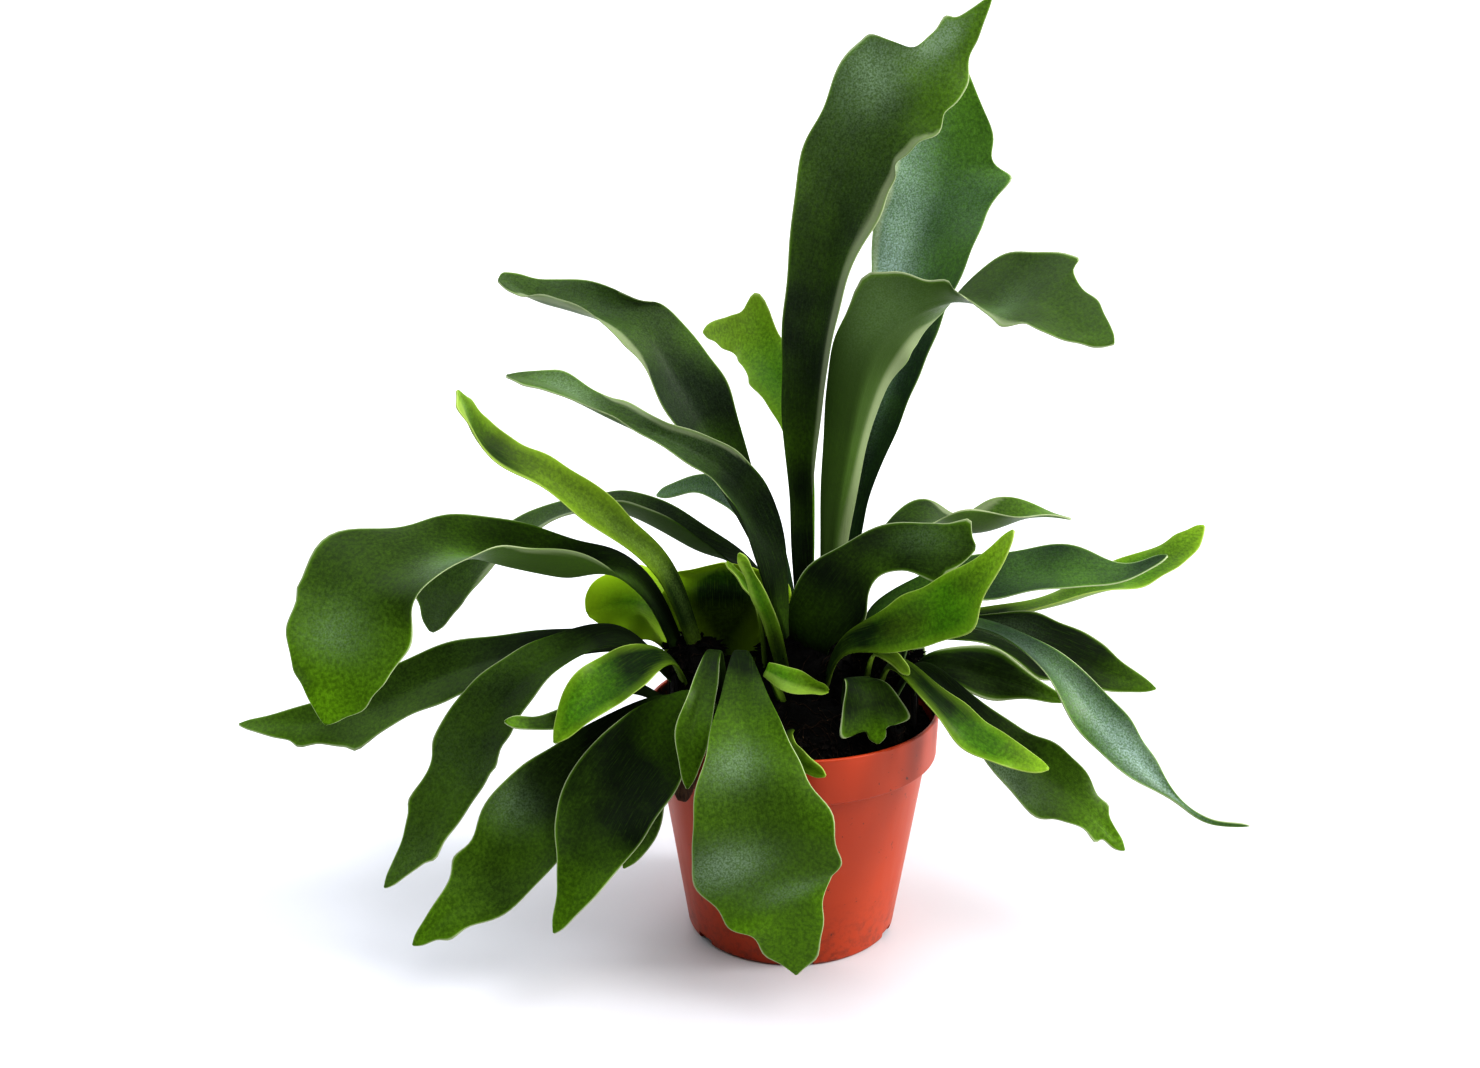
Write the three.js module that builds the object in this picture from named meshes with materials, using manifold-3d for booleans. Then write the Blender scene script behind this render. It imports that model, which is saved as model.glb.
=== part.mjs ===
// A potted staghorn fern: a terracotta-coloured plastic nursery pot filled with potting mix, the dark
// crown of rhizomes that sits on it, the rounded shield fronds that hug the crown, and the long
// strap-shaped fertile fronds that stand, arch and droop from three growing points.
// Millimetres, +Z up. The origin is at the middle of the pot's flat underside.
import * as THREE from 'three';
import { mergeVertices } from 'three/addons/utils/BufferGeometryUtils.js';
import Module from 'manifold-3d';

// ---- driving dimensions -------------------------------------------------------------------------
const POT_HEIGHT = 96;
const RIM_RADIUS = 60;
const RIM_BAND_HEIGHT = 18.5;
const RIM_STEP = 4;
const BAND_TAPER = 0.6;
const BASE_RADIUS = 43.5;
const WALL = 1.6;
const FLOOR = 2.4;
const POT_SIDES = 44;
const DRAIN = { count: 6, width: 9, height: 6, inner: 34, outer: 50, turn: 0.6 };
const FOOT_BEVEL = 1;
const BAND_SHOULDER = 2;
const LIP = { height: 0.8, width: 0.6 };

const CLEARANCE = 0.3;
const SOIL_DEPTH = 7;
const SOIL_TOP = POT_HEIGHT - SOIL_DEPTH;
const SOIL_ROUNDING = 2.3;
const CROWN_RADIUS = 51;
const CROWN_RISE = 19;
const CROWN_EDGE = 3;
const CROWN_SIDES = 32;
// The crown's outline from its edge to its top: shares of its radius and of its rise.
const CROWN_OUTLINE = [[0.93, 0.5], [0.7, 0.8], [0.4, 0.95], [0, 1]];
const KNOB_SIDES = 16;
const KNOB_RINGS = 10;
// Growing points: x, y, top height, radius.
const GROWING_POINTS = [
  [-41, -7, 127, 16],
  [5, -2, 131, 21],
  [38, -3, 125, 15],
];

const STIPE_THICKNESS = 2.6;
const BLADE_THICKNESS = 1.1;
const SHIELD_THICKNESS = 1.4;
const STIPE_SHARE = 0.25;
// Spacing of the stations along a plain and a lobed strap, and points across a wide and a narrow one.
const STATION_STEP = 10.5;
const LOBED_STEP = 7.5;
const FEWEST_STATIONS = 5;
const WIDE_COLUMNS = 5;
const NARROW_COLUMNS = 3;
const NARROW = 6;
const TIP_HALF_WIDTH = 0.8;
// The two halves of a strap fold up beyond its flat foot, and its margins wave more towards the tip.
const FLAT_FOOT = 32;
const FOLDED_FROM = 56;
const FOLD_POWER = 1.4;
const EDGE_WAVE = { share: 0.14, turns: 19, phase: 1.7, fullFrom: 0.5 };
const LOBE_SWEEP = 0.8;
const WELD = 1e-4;
const HOLE = { side: 0.8, face: 0.5, depth: 39, stations: 4 };
// The place in front of the plant from which its outline stays the same however far fronds lean.
const EYE = new THREE.Vector3(-21.6, -579.3, 323.7);
const LEAN_POWER = 1.5;

// ---- frond table --------------------------------------------------------------------------------
// Each frond is a strap that runs through its rows from its foot in the crown to its tip.
// A row holds x, y, z, half-width, roll about the strap's own line and fold of its two halves, in
// millimetres and degrees. Lobes are [place along the strap, side, reach, spread]. A frond with a value
// for back has its tip that many millimetres further back than its rows say, or further forward if the
// value is below zero, and the rest of the frond leans with it.
const MATURE = 'frond_mature';
const SILVER = 'frond_silver';
const YOUNG = 'frond_young';
const FRONDS = {
  tall_front: {
    slot: MATURE,
    back: -8,
    rows: [
      [6, -1, 108, 3.5, -85, 0], [3, -8, 165, 4.5, -85, 45], [2, -13, 225, 11, -75, 40],
      [8, -14, 275, 14, -70, 28], [22, -12, 318, 20, -80, 12], [39, -9, 338, 18, -82, 6],
      [56, -6, 354, 8, -80, 5], [70, -3, 371, 0.8, -85, 0],
    ],
    lobes: [[0.68, -1, 6, 13], [0.6, 1, -5, 14], [0.8, 1, 3, 10]],
  },
  tall_back: {
    slot: SILVER,
    back: 35,
    rows: [
      [14, 8, 108, 3.5, -40, 0], [22, 13, 165, 6.5, -40, 45], [34, 20, 212, 12, -42, 35],
      [44, 29, 250, 17, -45, 27], [56, 37, 292, 21, -50, 15], [62, 39, 320, 18, -55, 8],
      [66, 38, 350, 0.8, -60, 0],
    ],
    lobes: [[0.74, 1, 7, 9], [0.6, -1, 3, 12]],
  },
  mid_twist: {
    slot: MATURE,
    back: -20,
    rows: [
      [14, -4, 108, 3.5, 70, 0], [16, -1, 165, 5.5, 65, 45], [22, -2, 220, 12.5, 62, 30],
      [33, -4, 250, 17, 60, 14], [55, -4, 263, 15, 15, 10], [74, -10, 268, 21, -22, 26],
      [90, -20, 265, 18, -42, 14], [104, -29, 255, 10.5, -48, 8], [114, -36, 249, 0.8, -50, 0],
    ],
    lobes: [[0.42, 1, 5, 10], [0.63, -1, 3, 10], [0.62, 1, -6, 9], [0.71, -1, 6, 8]],
  },
  back_lobed: {
    slot: YOUNG,
    back: 50,
    rows: [
      [5, 8, 108, 3, 50, 0], [6, 14, 165, 3, 52, 35], [2, 26, 203, 6, 60, 20],
      [-7, 35, 226, 9.5, 65, 10], [-17, 40, 240, 10.5, 78, 6], [-28, 43, 243, 6.5, 92, 4],
      [-37, 44, 243, 0.8, 100, 0],
    ],
    lobes: [[0.68, 1, 11, 5]],
  },
  upper_left_long: {
    slot: MATURE,
    back: 40,
    rows: [
      [-1, 4, 108, 3.5, 55, 0], [-9, 10, 154, 5, 52, 42], [-27, 18, 195, 12, 50, 32],
      [-42, 19, 225, 17.5, 50, 22], [-60, 22, 251, 17, 33, 20], [-86, 20, 261, 15, 15, 30],
      [-104, 17, 265, 10, 20, 28], [-116, 12, 267, 4, 25, 0],
    ],
    lobes: [[0.63, 1, -9, 11]],
  },
  upper_left_second: {
    slot: MATURE,
    back: 15,
    rows: [
      [-4, -9, 106, 3.5, 30, 0], [-7, -14, 150, 6.5, 40, 45], [-15, -14, 182, 10, 50, 35],
      [-29, -12, 200, 10, 50, 30], [-52, -10, 211, 6, 40, 30], [-70, -7, 220, 9.5, 15, 25],
      [-90, -4, 229, 9, 10, 15], [-112, -3, 232, 2.5, 20, 0],
    ],
  },
  left_bright: {
    slot: YOUNG,
    back: -15,
    rows: [
      [-36, -6, 112, 3.5, 58, 0], [-50, -14, 155, 5, 58, 35], [-70, -22, 179, 7.5, 57, 25],
      [-94, -28, 199, 9, 45, 22], [-115, -33, 214, 9, 27, 25], [-125, -36, 232, 0.8, 40, 0],
    ],
  },
  left_big: {
    slot: MATURE,
    back: -25,
    rows: [
      [-43, -6, 113, 3.5, 50, 0], [-58, -15, 150, 7, 35, 47], [-82, -23, 169, 17, 5, 50],
      [-110, -28, 176, 20.5, 0, 38], [-136, -39, 174, 18, 22, 16], [-158, -51, 164, 20, 48, 6],
      [-168, -58, 138, 20, 63, 5], [-172, -59, 122, 13, 65, 3], [-176, -58, 110, 0.8, 65, 0],
    ],
    lobes: [[0.68, -1, 4, 9]],
  },
  left_behind: {
    slot: MATURE,
    back: 60,
    rows: [
      [-2, 11, 108, 3.5, 30, 0], [-14, 16, 144, 6.5, 22, 45], [-40, 21, 165, 11.5, 3, 42],
      [-68, 22, 178, 13, 5, 32], [-92, 19, 175, 9.5, 0, 20], [-115, 13, 164, 8.5, 25, 12],
      [-140, 4, 146, 10.5, 52, 6], [-147, -1, 127, 4, 60, 0],
    ],
  },
  left_low_long: {
    slot: MATURE,
    back: 40,
    rows: [
      [-47, 1, 108, 3.5, 5, 0], [-70, 3, 121, 7.5, 5, 36], [-106, 2, 119, 10.5, 32, 22],
      [-140, -1, 111, 13, 38, 18], [-170, -6, 98, 12.5, 46, 10], [-200, -11, 91, 7.5, 45, 6],
      [-224, -14, 92, 0.8, 30, 0],
    ],
    lobes: [[0.72, -1, 4, 9]],
  },
  left_low_dark: {
    slot: MATURE,
    back: -8,
    rows: [
      [-47, -8, 108, 3.5, 20, 0], [-68, -18, 131, 7, 20, 36], [-96, -30, 128, 9.5, 27, 26],
      [-118, -40, 109, 13, 43, 16], [-130, -48, 87, 12, 45, 11], [-143, -57, 63, 8, 40, 6],
      [-157, -62, 45, 0.8, 40, 0],
    ],
    lobes: [[0.6, 1, 3, 8]],
  },
  left_short_bright: {
    slot: YOUNG,
    rows: [
      [-42, -14, 106, 3, 30, 0], [-50, -32, 128, 4.5, 27, 28], [-66, -47, 127, 10, 38, 16],
      [-79, -57, 120, 9, 40, 12], [-90, -66, 106, 0.8, 35, 0],
    ],
  },
  left_short_dark: {
    slot: MATURE,
    rows: [
      [-47, -16, 100, 2.5, 25, 0], [-66, -39, 118, 4, 30, 25], [-90, -54, 110, 4, 40, 18],
      [-109, -60, 112, 0.8, 60, 0],
    ],
  },
  low_left_big: {
    slot: MATURE,
    rows: [
      [-37, -20, 101, 3.5, 25, 0], [-52, -37, 109, 5.5, 28, 32], [-78, -52, 94, 12.5, 48, 19],
      [-98, -64, 77, 17.5, 50, 11], [-112, -74, 57, 14.5, 45, 8], [-129, -82, 45, 7, 40, 4],
      [-142, -85, 34, 0.8, 40, 0],
    ],
    lobes: [[0.7, 1, 4, 7]],
  },
  low_left_dark: {
    slot: MATURE,
    rows: [
      [-30, -19, 101, 3.5, 25, 0], [-40, -44, 114, 6.5, 25, 32], [-56, -60, 101, 17, 29, 16],
      [-71, -75, 82, 18, 24, 10], [-80, -87, 61, 9, 18, 5], [-89, -92, 43, 0.8, 15, 0],
    ],
    lobes: [[0.6, 1, 3, 6]],
  },
  behind_low_left: {
    slot: MATURE,
    rows: [
      [-42, -22, 96, 3, 15, 0], [-52, -36, 101, 4.5, 15, 28], [-56, -47, 86, 7, 20, 16],
      [-59, -49, 64, 7, 25, 10], [-67, -46, 45, 0.8, 30, 0],
    ],
  },
  front_left_narrow: {
    slot: MATURE,
    rows: [
      [-29, -14, 106, 3, 0, 0], [-31, -34, 131, 2.6, 0, 30], [-35, -53, 123, 5, 15, 18],
      [-39, -66, 109, 6.5, 18, 12], [-41, -71, 90, 0.8, 25, 0],
    ],
  },
  front_big: {
    slot: MATURE,
    rows: [
      [-20, -13, 106, 3.5, 10, 0], [-21, -38, 132, 2.8, 8, 34], [-20, -63, 122, 9.5, -6, 16],
      [-18, -79, 103, 18, -12, 7], [-14, -89, 80, 25.5, -15, 5], [-10, -92, 60, 22, -15, 5],
      [-5, -92, 46, 14, -17, 4], [-1, -90, 25, 0.8, -15, 0],
    ],
    lobes: [[0.64, -1, 2.5, 11], [0.66, 1, 3, 9]],
  },
  soil_lobed: {
    slot: MATURE,
    rows: [
      [21, -21, 98, 3, 10, 0], [22, -28, 116, 3.5, 5, 20], [25, -36, 119, 7, 0, 16],
      [28, -42, 112, 10.5, -5, 10], [30, -46, 105, 8, -10, 8], [31, -48, 98, 1.5, -15, 0],
    ],
    lobes: [[0.7, -1, 6, 4.5], [0.74, 1, 7, 4]],
  },
  small_curl: {
    slot: YOUNG,
    rows: [
      [-4, -20, 102, 2.5, -40, 0], [-10, -32, 121, 3, -60, 20], [-11, -42, 125.5, 3, -55, 45],
      [-4, -47, 124, 5, -42, 66], [5, -48, 121.5, 5, -38, 66], [12, -47, 119, 3.5, -35, 50],
    ],
  },
  rim_tip: {
    slot: YOUNG,
    rows: [
      [1, -26, 98, 2.5, -10, 0], [-5, -48, 101, 3.5, -12, 12], [-1, -62, 98.5, 4, -35, 8],
      [10, -67.5, 93.5, 0.8, -45, 0],
    ],
  },
  young_centre: {
    slot: YOUNG,
    rows: [
      [-2, -17, 106, 2.2, 125, 0], [-9, -23, 136, 3.2, 125, 47], [-16, -25, 154, 3.2, 130, 48],
      [-22, -25, 167, 0.8, 115, 0],
    ],
  },
  young_behind: {
    slot: YOUNG,
    rows: [
      [-10, -8, 104, 2.2, 35, 0], [-14, -15, 140, 2.8, 38, 30], [-20, -17, 153, 2.8, 40, 24],
      [-27, -16, 161, 0.8, 45, 0],
    ],
  },
  back_forked: {
    slot: SILVER,
    back: 50,
    rows: [
      [4, 19, 102, 3, 45, 0], [-6, 26, 150, 4.5, 50, 28], [-20, 33, 173, 7, 60, 18],
      [-38, 37, 180, 4.5, 70, 12], [-57, 40, 174, 0.8, 70, 0],
    ],
    lobes: [[0.5, 1, 3, 5]],
  },
  right_dark_lobed: {
    slot: MATURE,
    rows: [
      [12, -9, 108, 3.5, -90, 0], [6, -15, 128, 9, -95, 20], [14, -22, 148, 15, -98, 14],
      [28, -30, 168, 9, -80, 10], [48, -38, 174, 9, -70, 6], [66, -42, 174, 4.5, -65, 0],
    ],
    lobes: [[0.88, 1, 3, 5]],
  },
  right_bright: {
    slot: YOUNG,
    rows: [
      [11, -16, 104, 3.5, -30, 0], [18, -28, 130, 4, -50, 22], [38, -43, 143, 9.5, -78, 11],
      [54, -53, 155, 10.8, -78, 8], [67, -60, 171, 6, -66, 6], [76, -62, 186, 0.8, -60, 0],
    ],
    lobes: [[0.62, 1, 3, 8]],
  },
  right_back_wavy: {
    slot: MATURE,
    back: 45,
    rows: [
      [28, 12, 104, 3.5, -10, 0], [27, 20, 140, 5, -8, 40], [38, 24, 160, 12, 2, 25],
      [56, 26, 171, 13, -3, 22], [74, 24, 171, 15, 10, 35], [95, 22, 174, 11.5, -3, 28],
      [115, 20, 169, 0.8, 5, 0],
    ],
  },
  right_bluish: {
    slot: SILVER,
    back: 20,
    rows: [
      [34, 6, 104, 3.5, -25, 0], [32, 9, 130, 4, -24, 34], [56, 10, 143, 8, -27, 17],
      [84, 8, 149, 12.8, -34, 10], [112, 4, 153, 11.5, -30, 10], [134, 1, 152, 5.5, -22, 6],
      [150, 0, 159, 0.8, -25, 0],
    ],
  },
  right_bright_far: {
    slot: YOUNG,
    back: 40,
    rows: [
      [42, 9, 99, 3.5, 5, 0], [49, 12, 124, 4, 5, 34], [86, 18, 130, 7.5, 5, 23],
      [118, 26, 135, 9.3, 3, 18], [146, 33, 143, 10.3, -15, 10], [165, 34, 152, 8, -22, 6],
      [174, 32, 163, 0.8, -25, 0],
    ],
  },
  right_dark_upper: {
    slot: MATURE,
    back: 8,
    rows: [
      [45, -2, 101, 3.5, -15, 0], [50, -1, 126, 5.5, -16, 28], [80, -1, 128, 9.5, -30, 15],
      [106, -4, 121, 12.5, -52, 10], [126, -7, 112, 8, -55, 7], [147, -8, 105, 0.8, -60, 0],
    ],
  },
  right_droop_silver: {
    slot: SILVER,
    back: -22,
    rows: [
      [41, -7, 104, 3.5, -10, 0], [48, -15, 133, 4.5, -11, 32], [74, -27, 139, 7.5, 2, 21],
      [98, -35, 126, 8.5, -18, 13], [118, -42, 104, 10, -47, 8], [133, -45, 88, 7.2, -50, 6],
      [146, -46, 75, 1.6, -45, 5], [160, -46, 65, 1.2, -70, 3], [177, -44, 62, 0.8, -88, 0],
    ],
  },
  right_dark_lower: {
    slot: MATURE,
    rows: [
      [46, -9, 97, 3, -30, 0], [53, -13, 117, 3.6, -32, 28], [78, -19, 115, 6.5, -58, 14],
      [108, -22, 105, 0.8, -60, 0],
    ],
  },
  low_right_big: {
    slot: MATURE,
    back: -12,
    rows: [
      [38, -14, 100, 3.5, -10, 0], [48, -27, 121, 5, -14, 34], [66, -35, 107, 7.5, -30, 19],
      [86, -41, 89, 12.5, -46, 12], [106, -44, 76, 12, -45, 8], [118, -46, 64, 5, -40, 4],
      [128, -47, 53, 0.8, -40, 0],
    ],
    lobes: [[0.6, 1, 3, 7]],
  },
  low_right_bright: {
    slot: YOUNG,
    rows: [
      [32, -14, 102, 3, -20, 0], [38, -31, 125, 3.4, -19, 32], [54, -47, 115, 6.2, -17, 17],
      [68, -55, 104, 8.2, -22, 9], [82, -58, 97, 5.5, -28, 6], [94, -60, 93, 0.8, -30, 0],
    ],
  },
  young_right: {
    slot: YOUNG,
    rows: [
      [27, -19, 104, 2, -25, 0], [30, -27, 126, 2, -25, 30], [36, -35, 129, 3, -25, 26],
      [43, -40, 123, 0.8, -25, 0],
    ],
  },
  shield_left: {
    slot: 'shield_green',
    rows: [
      [-45, 11, 98, 4, 10, 0], [-48, 11, 114, 6, 35, 4], [-54, 8, 130, 13, 52, 10],
      [-62, 3, 138, 15, 60, 14], [-71, -1, 140, 13.5, 62, 14], [-79, -4, 138, 9, 62, 10],
      [-83, -5, 136, 3, 62, 6],
    ],
  },
  shield_middle: {
    slot: 'shield_green',
    rows: [
      [-28, 3, 99, 9, 180, 0], [-28, 3, 122, 16, 180, 0], [-28, -1, 137, 25, 180, 20],
      [-28, -3, 148, 25, 180, 24], [-28, -4, 154, 15, 180, 22], [-28, -4, 157, 4, 180, 16],
    ],
  },
  back_droop_left: {
    slot: MATURE,
    rows: [
      [-22, 24, 97, 3.5, 0, 0], [-27, 44, 109, 5, 0, 30], [-32, 64, 105, 11, 0, 22],
      [-37, 81, 89, 14.5, -6, 14], [-40, 91, 67, 11, -8, 8], [-42, 97, 44, 0.8, -8, 0],
    ],
    lobes: [[0.66, 1, 3, 6]],
  },
  back_droop_right: {
    slot: SILVER,
    rows: [
      [24, 25, 97, 3.5, 0, 0], [31, 45, 110, 5, 0, 30], [40, 66, 107, 12, 0, 22],
      [49, 85, 92, 15.5, 6, 14], [57, 97, 70, 11, 8, 8], [62, 104, 50, 0.8, 8, 0],
    ],
    lobes: [[0.6, -1, 3, 6]],
  },
  shield_back: {
    slot: 'shield_dried',
    rows: [
      [1, 30, 96, 7, 0, 0], [2, 46, 107, 13, 0, 6], [3, 60, 108, 18, 0, 10],
      [4, 70, 99, 19, 0, 12], [4, 75, 84, 13, 0, 8], [4, 76, 76, 6, 0, 4],
    ],
  },
  shield_dried: {
    slot: 'shield_dried',
    rows: [
      [-33, -29, 96, 6, 0, 0], [-38, -41, 100, 6.5, 0, 6], [-43, -46.5, 97, 7, 0, 6],
      [-44, -47, 86, 7, 0, 6], [-44, -47, 74, 4, 0, 6],
    ],
  },
};

// ---- materials ----------------------------------------------------------------------------------
const MATERIALS = {
  pot_plastic: { color: 0xb5432a, roughness: 0.45 },
  potting_mix: { color: 0x1c1512, roughness: 1 },
  crown_fibre: { color: 0x2a1d14, roughness: 1 },
  frond_mature: { color: 0x35552b, roughness: 0.75 },
  frond_silver: { color: 0x6c8577, roughness: 0.85 },
  frond_young: { color: 0x7ba23a, roughness: 0.7 },
  shield_green: { color: 0x8aa244, roughness: 0.75 },
  shield_dried: { color: 0x4a2c1c, roughness: 0.9 },
};

function material(slot) {
  return new THREE.MeshStandardMaterial({ ...MATERIALS[slot], metalness: 0, side: THREE.FrontSide });
}

// ---- joining and cutting ------------------------------------------------------------------------
const wasm = await Module();
wasm.setup();

function toSolid(geometry) {
  const bare = geometry.clone();
  bare.deleteAttribute('normal');
  bare.deleteAttribute('uv');
  const welded = mergeVertices(bare, WELD);
  return new wasm.Manifold(new wasm.Mesh({
    numProp: 3,
    vertProperties: new Float32Array(welded.attributes.position.array),
    triVerts: new Uint32Array(welded.index.array),
  }));
}

function toGeometry(solid) {
  const mesh = solid.getMesh();
  const geometry = new THREE.BufferGeometry();
  geometry.setAttribute('position', new THREE.BufferAttribute(new Float32Array(mesh.vertProperties), 3));
  geometry.setIndex(new THREE.BufferAttribute(new Uint32Array(mesh.triVerts), 1));
  geometry.computeVertexNormals();
  return geometry;
}

// ---- pot, potting mix and crown -----------------------------------------------------------------
function lathe(profile, sides) {
  const points = profile.map(([r, z]) => new THREE.Vector2(r, z));
  const geometry = new THREE.LatheGeometry(points, sides);
  geometry.rotateX(Math.PI / 2);
  return geometry;
}

const BAND_BOTTOM = POT_HEIGHT - RIM_BAND_HEIGHT;
const SHOULDER = BAND_BOTTOM - BAND_SHOULDER;
const WALL_TOP_RADIUS = RIM_RADIUS - RIM_STEP - BAND_TAPER;

function innerRadius(z) {
  const slope = (WALL_TOP_RADIUS - BASE_RADIUS) / BAND_BOTTOM;
  return BASE_RADIUS - WALL + slope * z;
}

function potSolid() {
  const bandInner = RIM_RADIUS - WALL;
  const shell = toSolid(lathe([
    [0, 0], [BASE_RADIUS - FOOT_BEVEL, 0], [BASE_RADIUS, FOOT_BEVEL],
    [WALL_TOP_RADIUS, SHOULDER], [RIM_RADIUS - BAND_TAPER, BAND_BOTTOM],
    [RIM_RADIUS, POT_HEIGHT - LIP.height], [RIM_RADIUS - LIP.width, POT_HEIGHT],
    [bandInner, POT_HEIGHT], [bandInner - BAND_TAPER, BAND_BOTTOM + WALL],
    [innerRadius(SHOULDER), SHOULDER], [innerRadius(FLOOR), FLOOR], [0, FLOOR],
  ], POT_SIDES));
  return drainSlots().reduce((solid, slot) => solid.subtract(slot), shell);
}

function drainSlots() {
  return Array.from({ length: DRAIN.count }, (_, i) => {
    const slot = new THREE.BoxGeometry(DRAIN.outer - DRAIN.inner, DRAIN.width, DRAIN.height);
    slot.translate((DRAIN.outer + DRAIN.inner) / 2, 0, 0);
    slot.rotateZ(DRAIN.turn + (i / DRAIN.count) * Math.PI * 2);
    return toSolid(slot);
  });
}

function soilSolid() {
  const bottom = FLOOR + CLEARANCE;
  const ledge = BAND_BOTTOM + WALL + CLEARANCE;
  const bandInner = RIM_RADIUS - WALL - BAND_TAPER - 2 * CLEARANCE;
  return toSolid(lathe([
    [0, bottom], [innerRadius(bottom) - 2 * CLEARANCE, bottom],
    [innerRadius(SHOULDER) - 2 * CLEARANCE, SHOULDER],
    [bandInner - SOIL_ROUNDING, ledge + SOIL_ROUNDING], [bandInner, ledge + 2 * SOIL_ROUNDING],
    [bandInner, SOIL_TOP], [0, SOIL_TOP],
  ], POT_SIDES));
}

function crownSolid() {
  const foot = SOIL_TOP + CLEARANCE;
  const dome = lathe([
    [0, foot], [CROWN_RADIUS, foot], [CROWN_RADIUS, foot + CROWN_EDGE],
    ...CROWN_OUTLINE.map(([out, up]) => [CROWN_RADIUS * out, foot + CROWN_RISE * up]),
  ], CROWN_SIDES);
  return GROWING_POINTS.reduce((solid, [x, y, top, radius]) => {
    const halfHeight = (top - foot) / 2;
    const knob = new THREE.SphereGeometry(1, KNOB_SIDES, KNOB_RINGS);
    knob.rotateX(Math.PI / 2);
    knob.scale(radius, radius, halfHeight - CLEARANCE);
    knob.translate(x, y, foot + halfHeight);
    return solid.add(toSolid(knob));
  }, toSolid(dome));
}

// ---- fronds -------------------------------------------------------------------------------------
function curveThrough(vectors) {
  return new THREE.CatmullRomCurve3(vectors, false, 'catmullrom', 0.5);
}

// How far the lobes push the margin out at t along the strap, on the given side.
function lobeReach({ lobes, length }, t, side) {
  return lobes.filter((lobe) => lobe[1] === side)
    .reduce((sum, [at, , reach, spread]) => (
      sum + reach * Math.exp(-((((t - at) * length) / spread) ** 2))), 0);
}

// Moves a point straight away from the eye until it lies the given depth further back.
function leanBack(point, depth) {
  const sight = point.clone().sub(EYE);
  return point.addScaledVector(sight, depth / sight.y);
}

// The points across one face of the strap at t, from the left margin to the right one.
function sectionPoints(frond, t, wider, thicker) {
  const { spine, length, section, columns, sideways, phase, blade, back } = frond;
  const centre = spine.getPoint(t);
  const along = spine.getTangent(t);
  const [halfWidth, roll, fold] = section.getPoint(t).toArray();
  const level = sideways.clone().addScaledVector(along, -sideways.dot(along)).normalize();
  const side = level.applyAxisAngle(along, -THREE.MathUtils.degToRad(roll));
  const up = new THREE.Vector3().crossVectors(side, along);
  const opening = THREE.MathUtils.smoothstep(t * length, FLAT_FOOT, FOLDED_FROM);
  const lean = THREE.MathUtils.degToRad(Math.max(fold, 0)) * opening;
  const width = Math.max(halfWidth, TIP_HALF_WIDTH) + wider;
  const thinned = Math.min(1, t / STIPE_SHARE);
  const thickness = THREE.MathUtils.lerp(STIPE_THICKNESS, blade, thinned) + 2 * thicker;
  const waving = EDGE_WAVE.share * width * Math.min(1, t / EDGE_WAVE.fullFrom);
  const faces = { top: [], bottom: [] };
  for (let i = 0; i < columns; i += 1) {
    const s = -1 + (2 * i) / (columns - 1);
    const reach = lobeReach(frond, t, Math.sign(s)) * s * s;
    const across = s * (width * Math.cos(lean) + reach);
    const wave = waving * Math.sin(phase + s + t * EDGE_WAVE.turns) * s * s;
    const lift = width * Math.sin(lean) * (Math.abs(s) ** FOLD_POWER - 1) + wave;
    const middle = centre.clone().addScaledVector(side, across).addScaledVector(up, lift)
      .addScaledVector(along, reach * LOBE_SWEEP);
    leanBack(middle, back * t ** LEAN_POWER);
    faces.top.push(middle.clone().addScaledVector(up, thickness / 2));
    faces.bottom.push(middle.addScaledVector(up, -thickness / 2));
  }
  return faces;
}

// A closed strap: both faces are split into triangles alike, and a narrow band joins their margins.
// A sleeve is the first share of it, made wider and thicker by the two margins.
function strapGeometry(frond, share = 1, wider = 0, thicker = 0) {
  const { stations, columns } = frond;
  const positions = [];
  for (let k = 0; k <= stations; k += 1) {
    const faces = sectionPoints(frond, share * (k / stations), wider, thicker);
    [...faces.top, ...faces.bottom].forEach((p) => positions.push(p.x, p.y, p.z));
  }
  const at = (k, face, i) => k * 2 * columns + face * columns + i;
  const index = [];
  const quad = (a, b, c, d) => index.push(a, b, c, a, c, d);
  for (let k = 0; k < stations; k += 1) {
    for (let i = 0; i < columns - 1; i += 1) {
      quad(at(k, 0, i), at(k, 0, i + 1), at(k + 1, 0, i + 1), at(k + 1, 0, i));
      index.push(at(k, 1, i), at(k + 1, 1, i + 1), at(k, 1, i + 1));
      index.push(at(k, 1, i), at(k + 1, 1, i), at(k + 1, 1, i + 1));
    }
    quad(at(k, 1, 0), at(k, 0, 0), at(k + 1, 0, 0), at(k + 1, 1, 0));
    const last = columns - 1;
    quad(at(k, 0, last), at(k, 1, last), at(k + 1, 1, last), at(k + 1, 0, last));
  }
  for (let i = 0; i < columns - 1; i += 1) {
    quad(at(0, 0, i + 1), at(0, 0, i), at(0, 1, i), at(0, 1, i + 1));
    quad(at(stations, 0, i), at(stations, 0, i + 1), at(stations, 1, i + 1), at(stations, 1, i));
  }
  const geometry = new THREE.BufferGeometry();
  geometry.setAttribute('position', new THREE.Float32BufferAttribute(positions, 3));
  geometry.setIndex(index);
  return geometry;
}

// The plain hole that a frond's foot stands in: a short flat sleeve round the foot of the strap.
function footHole(frond) {
  const share = HOLE.depth / frond.length;
  const sleeve = { ...frond, columns: 2, stations: HOLE.stations, lobes: [] };
  return toSolid(strapGeometry(sleeve, share, HOLE.side, HOLE.face));
}

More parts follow.
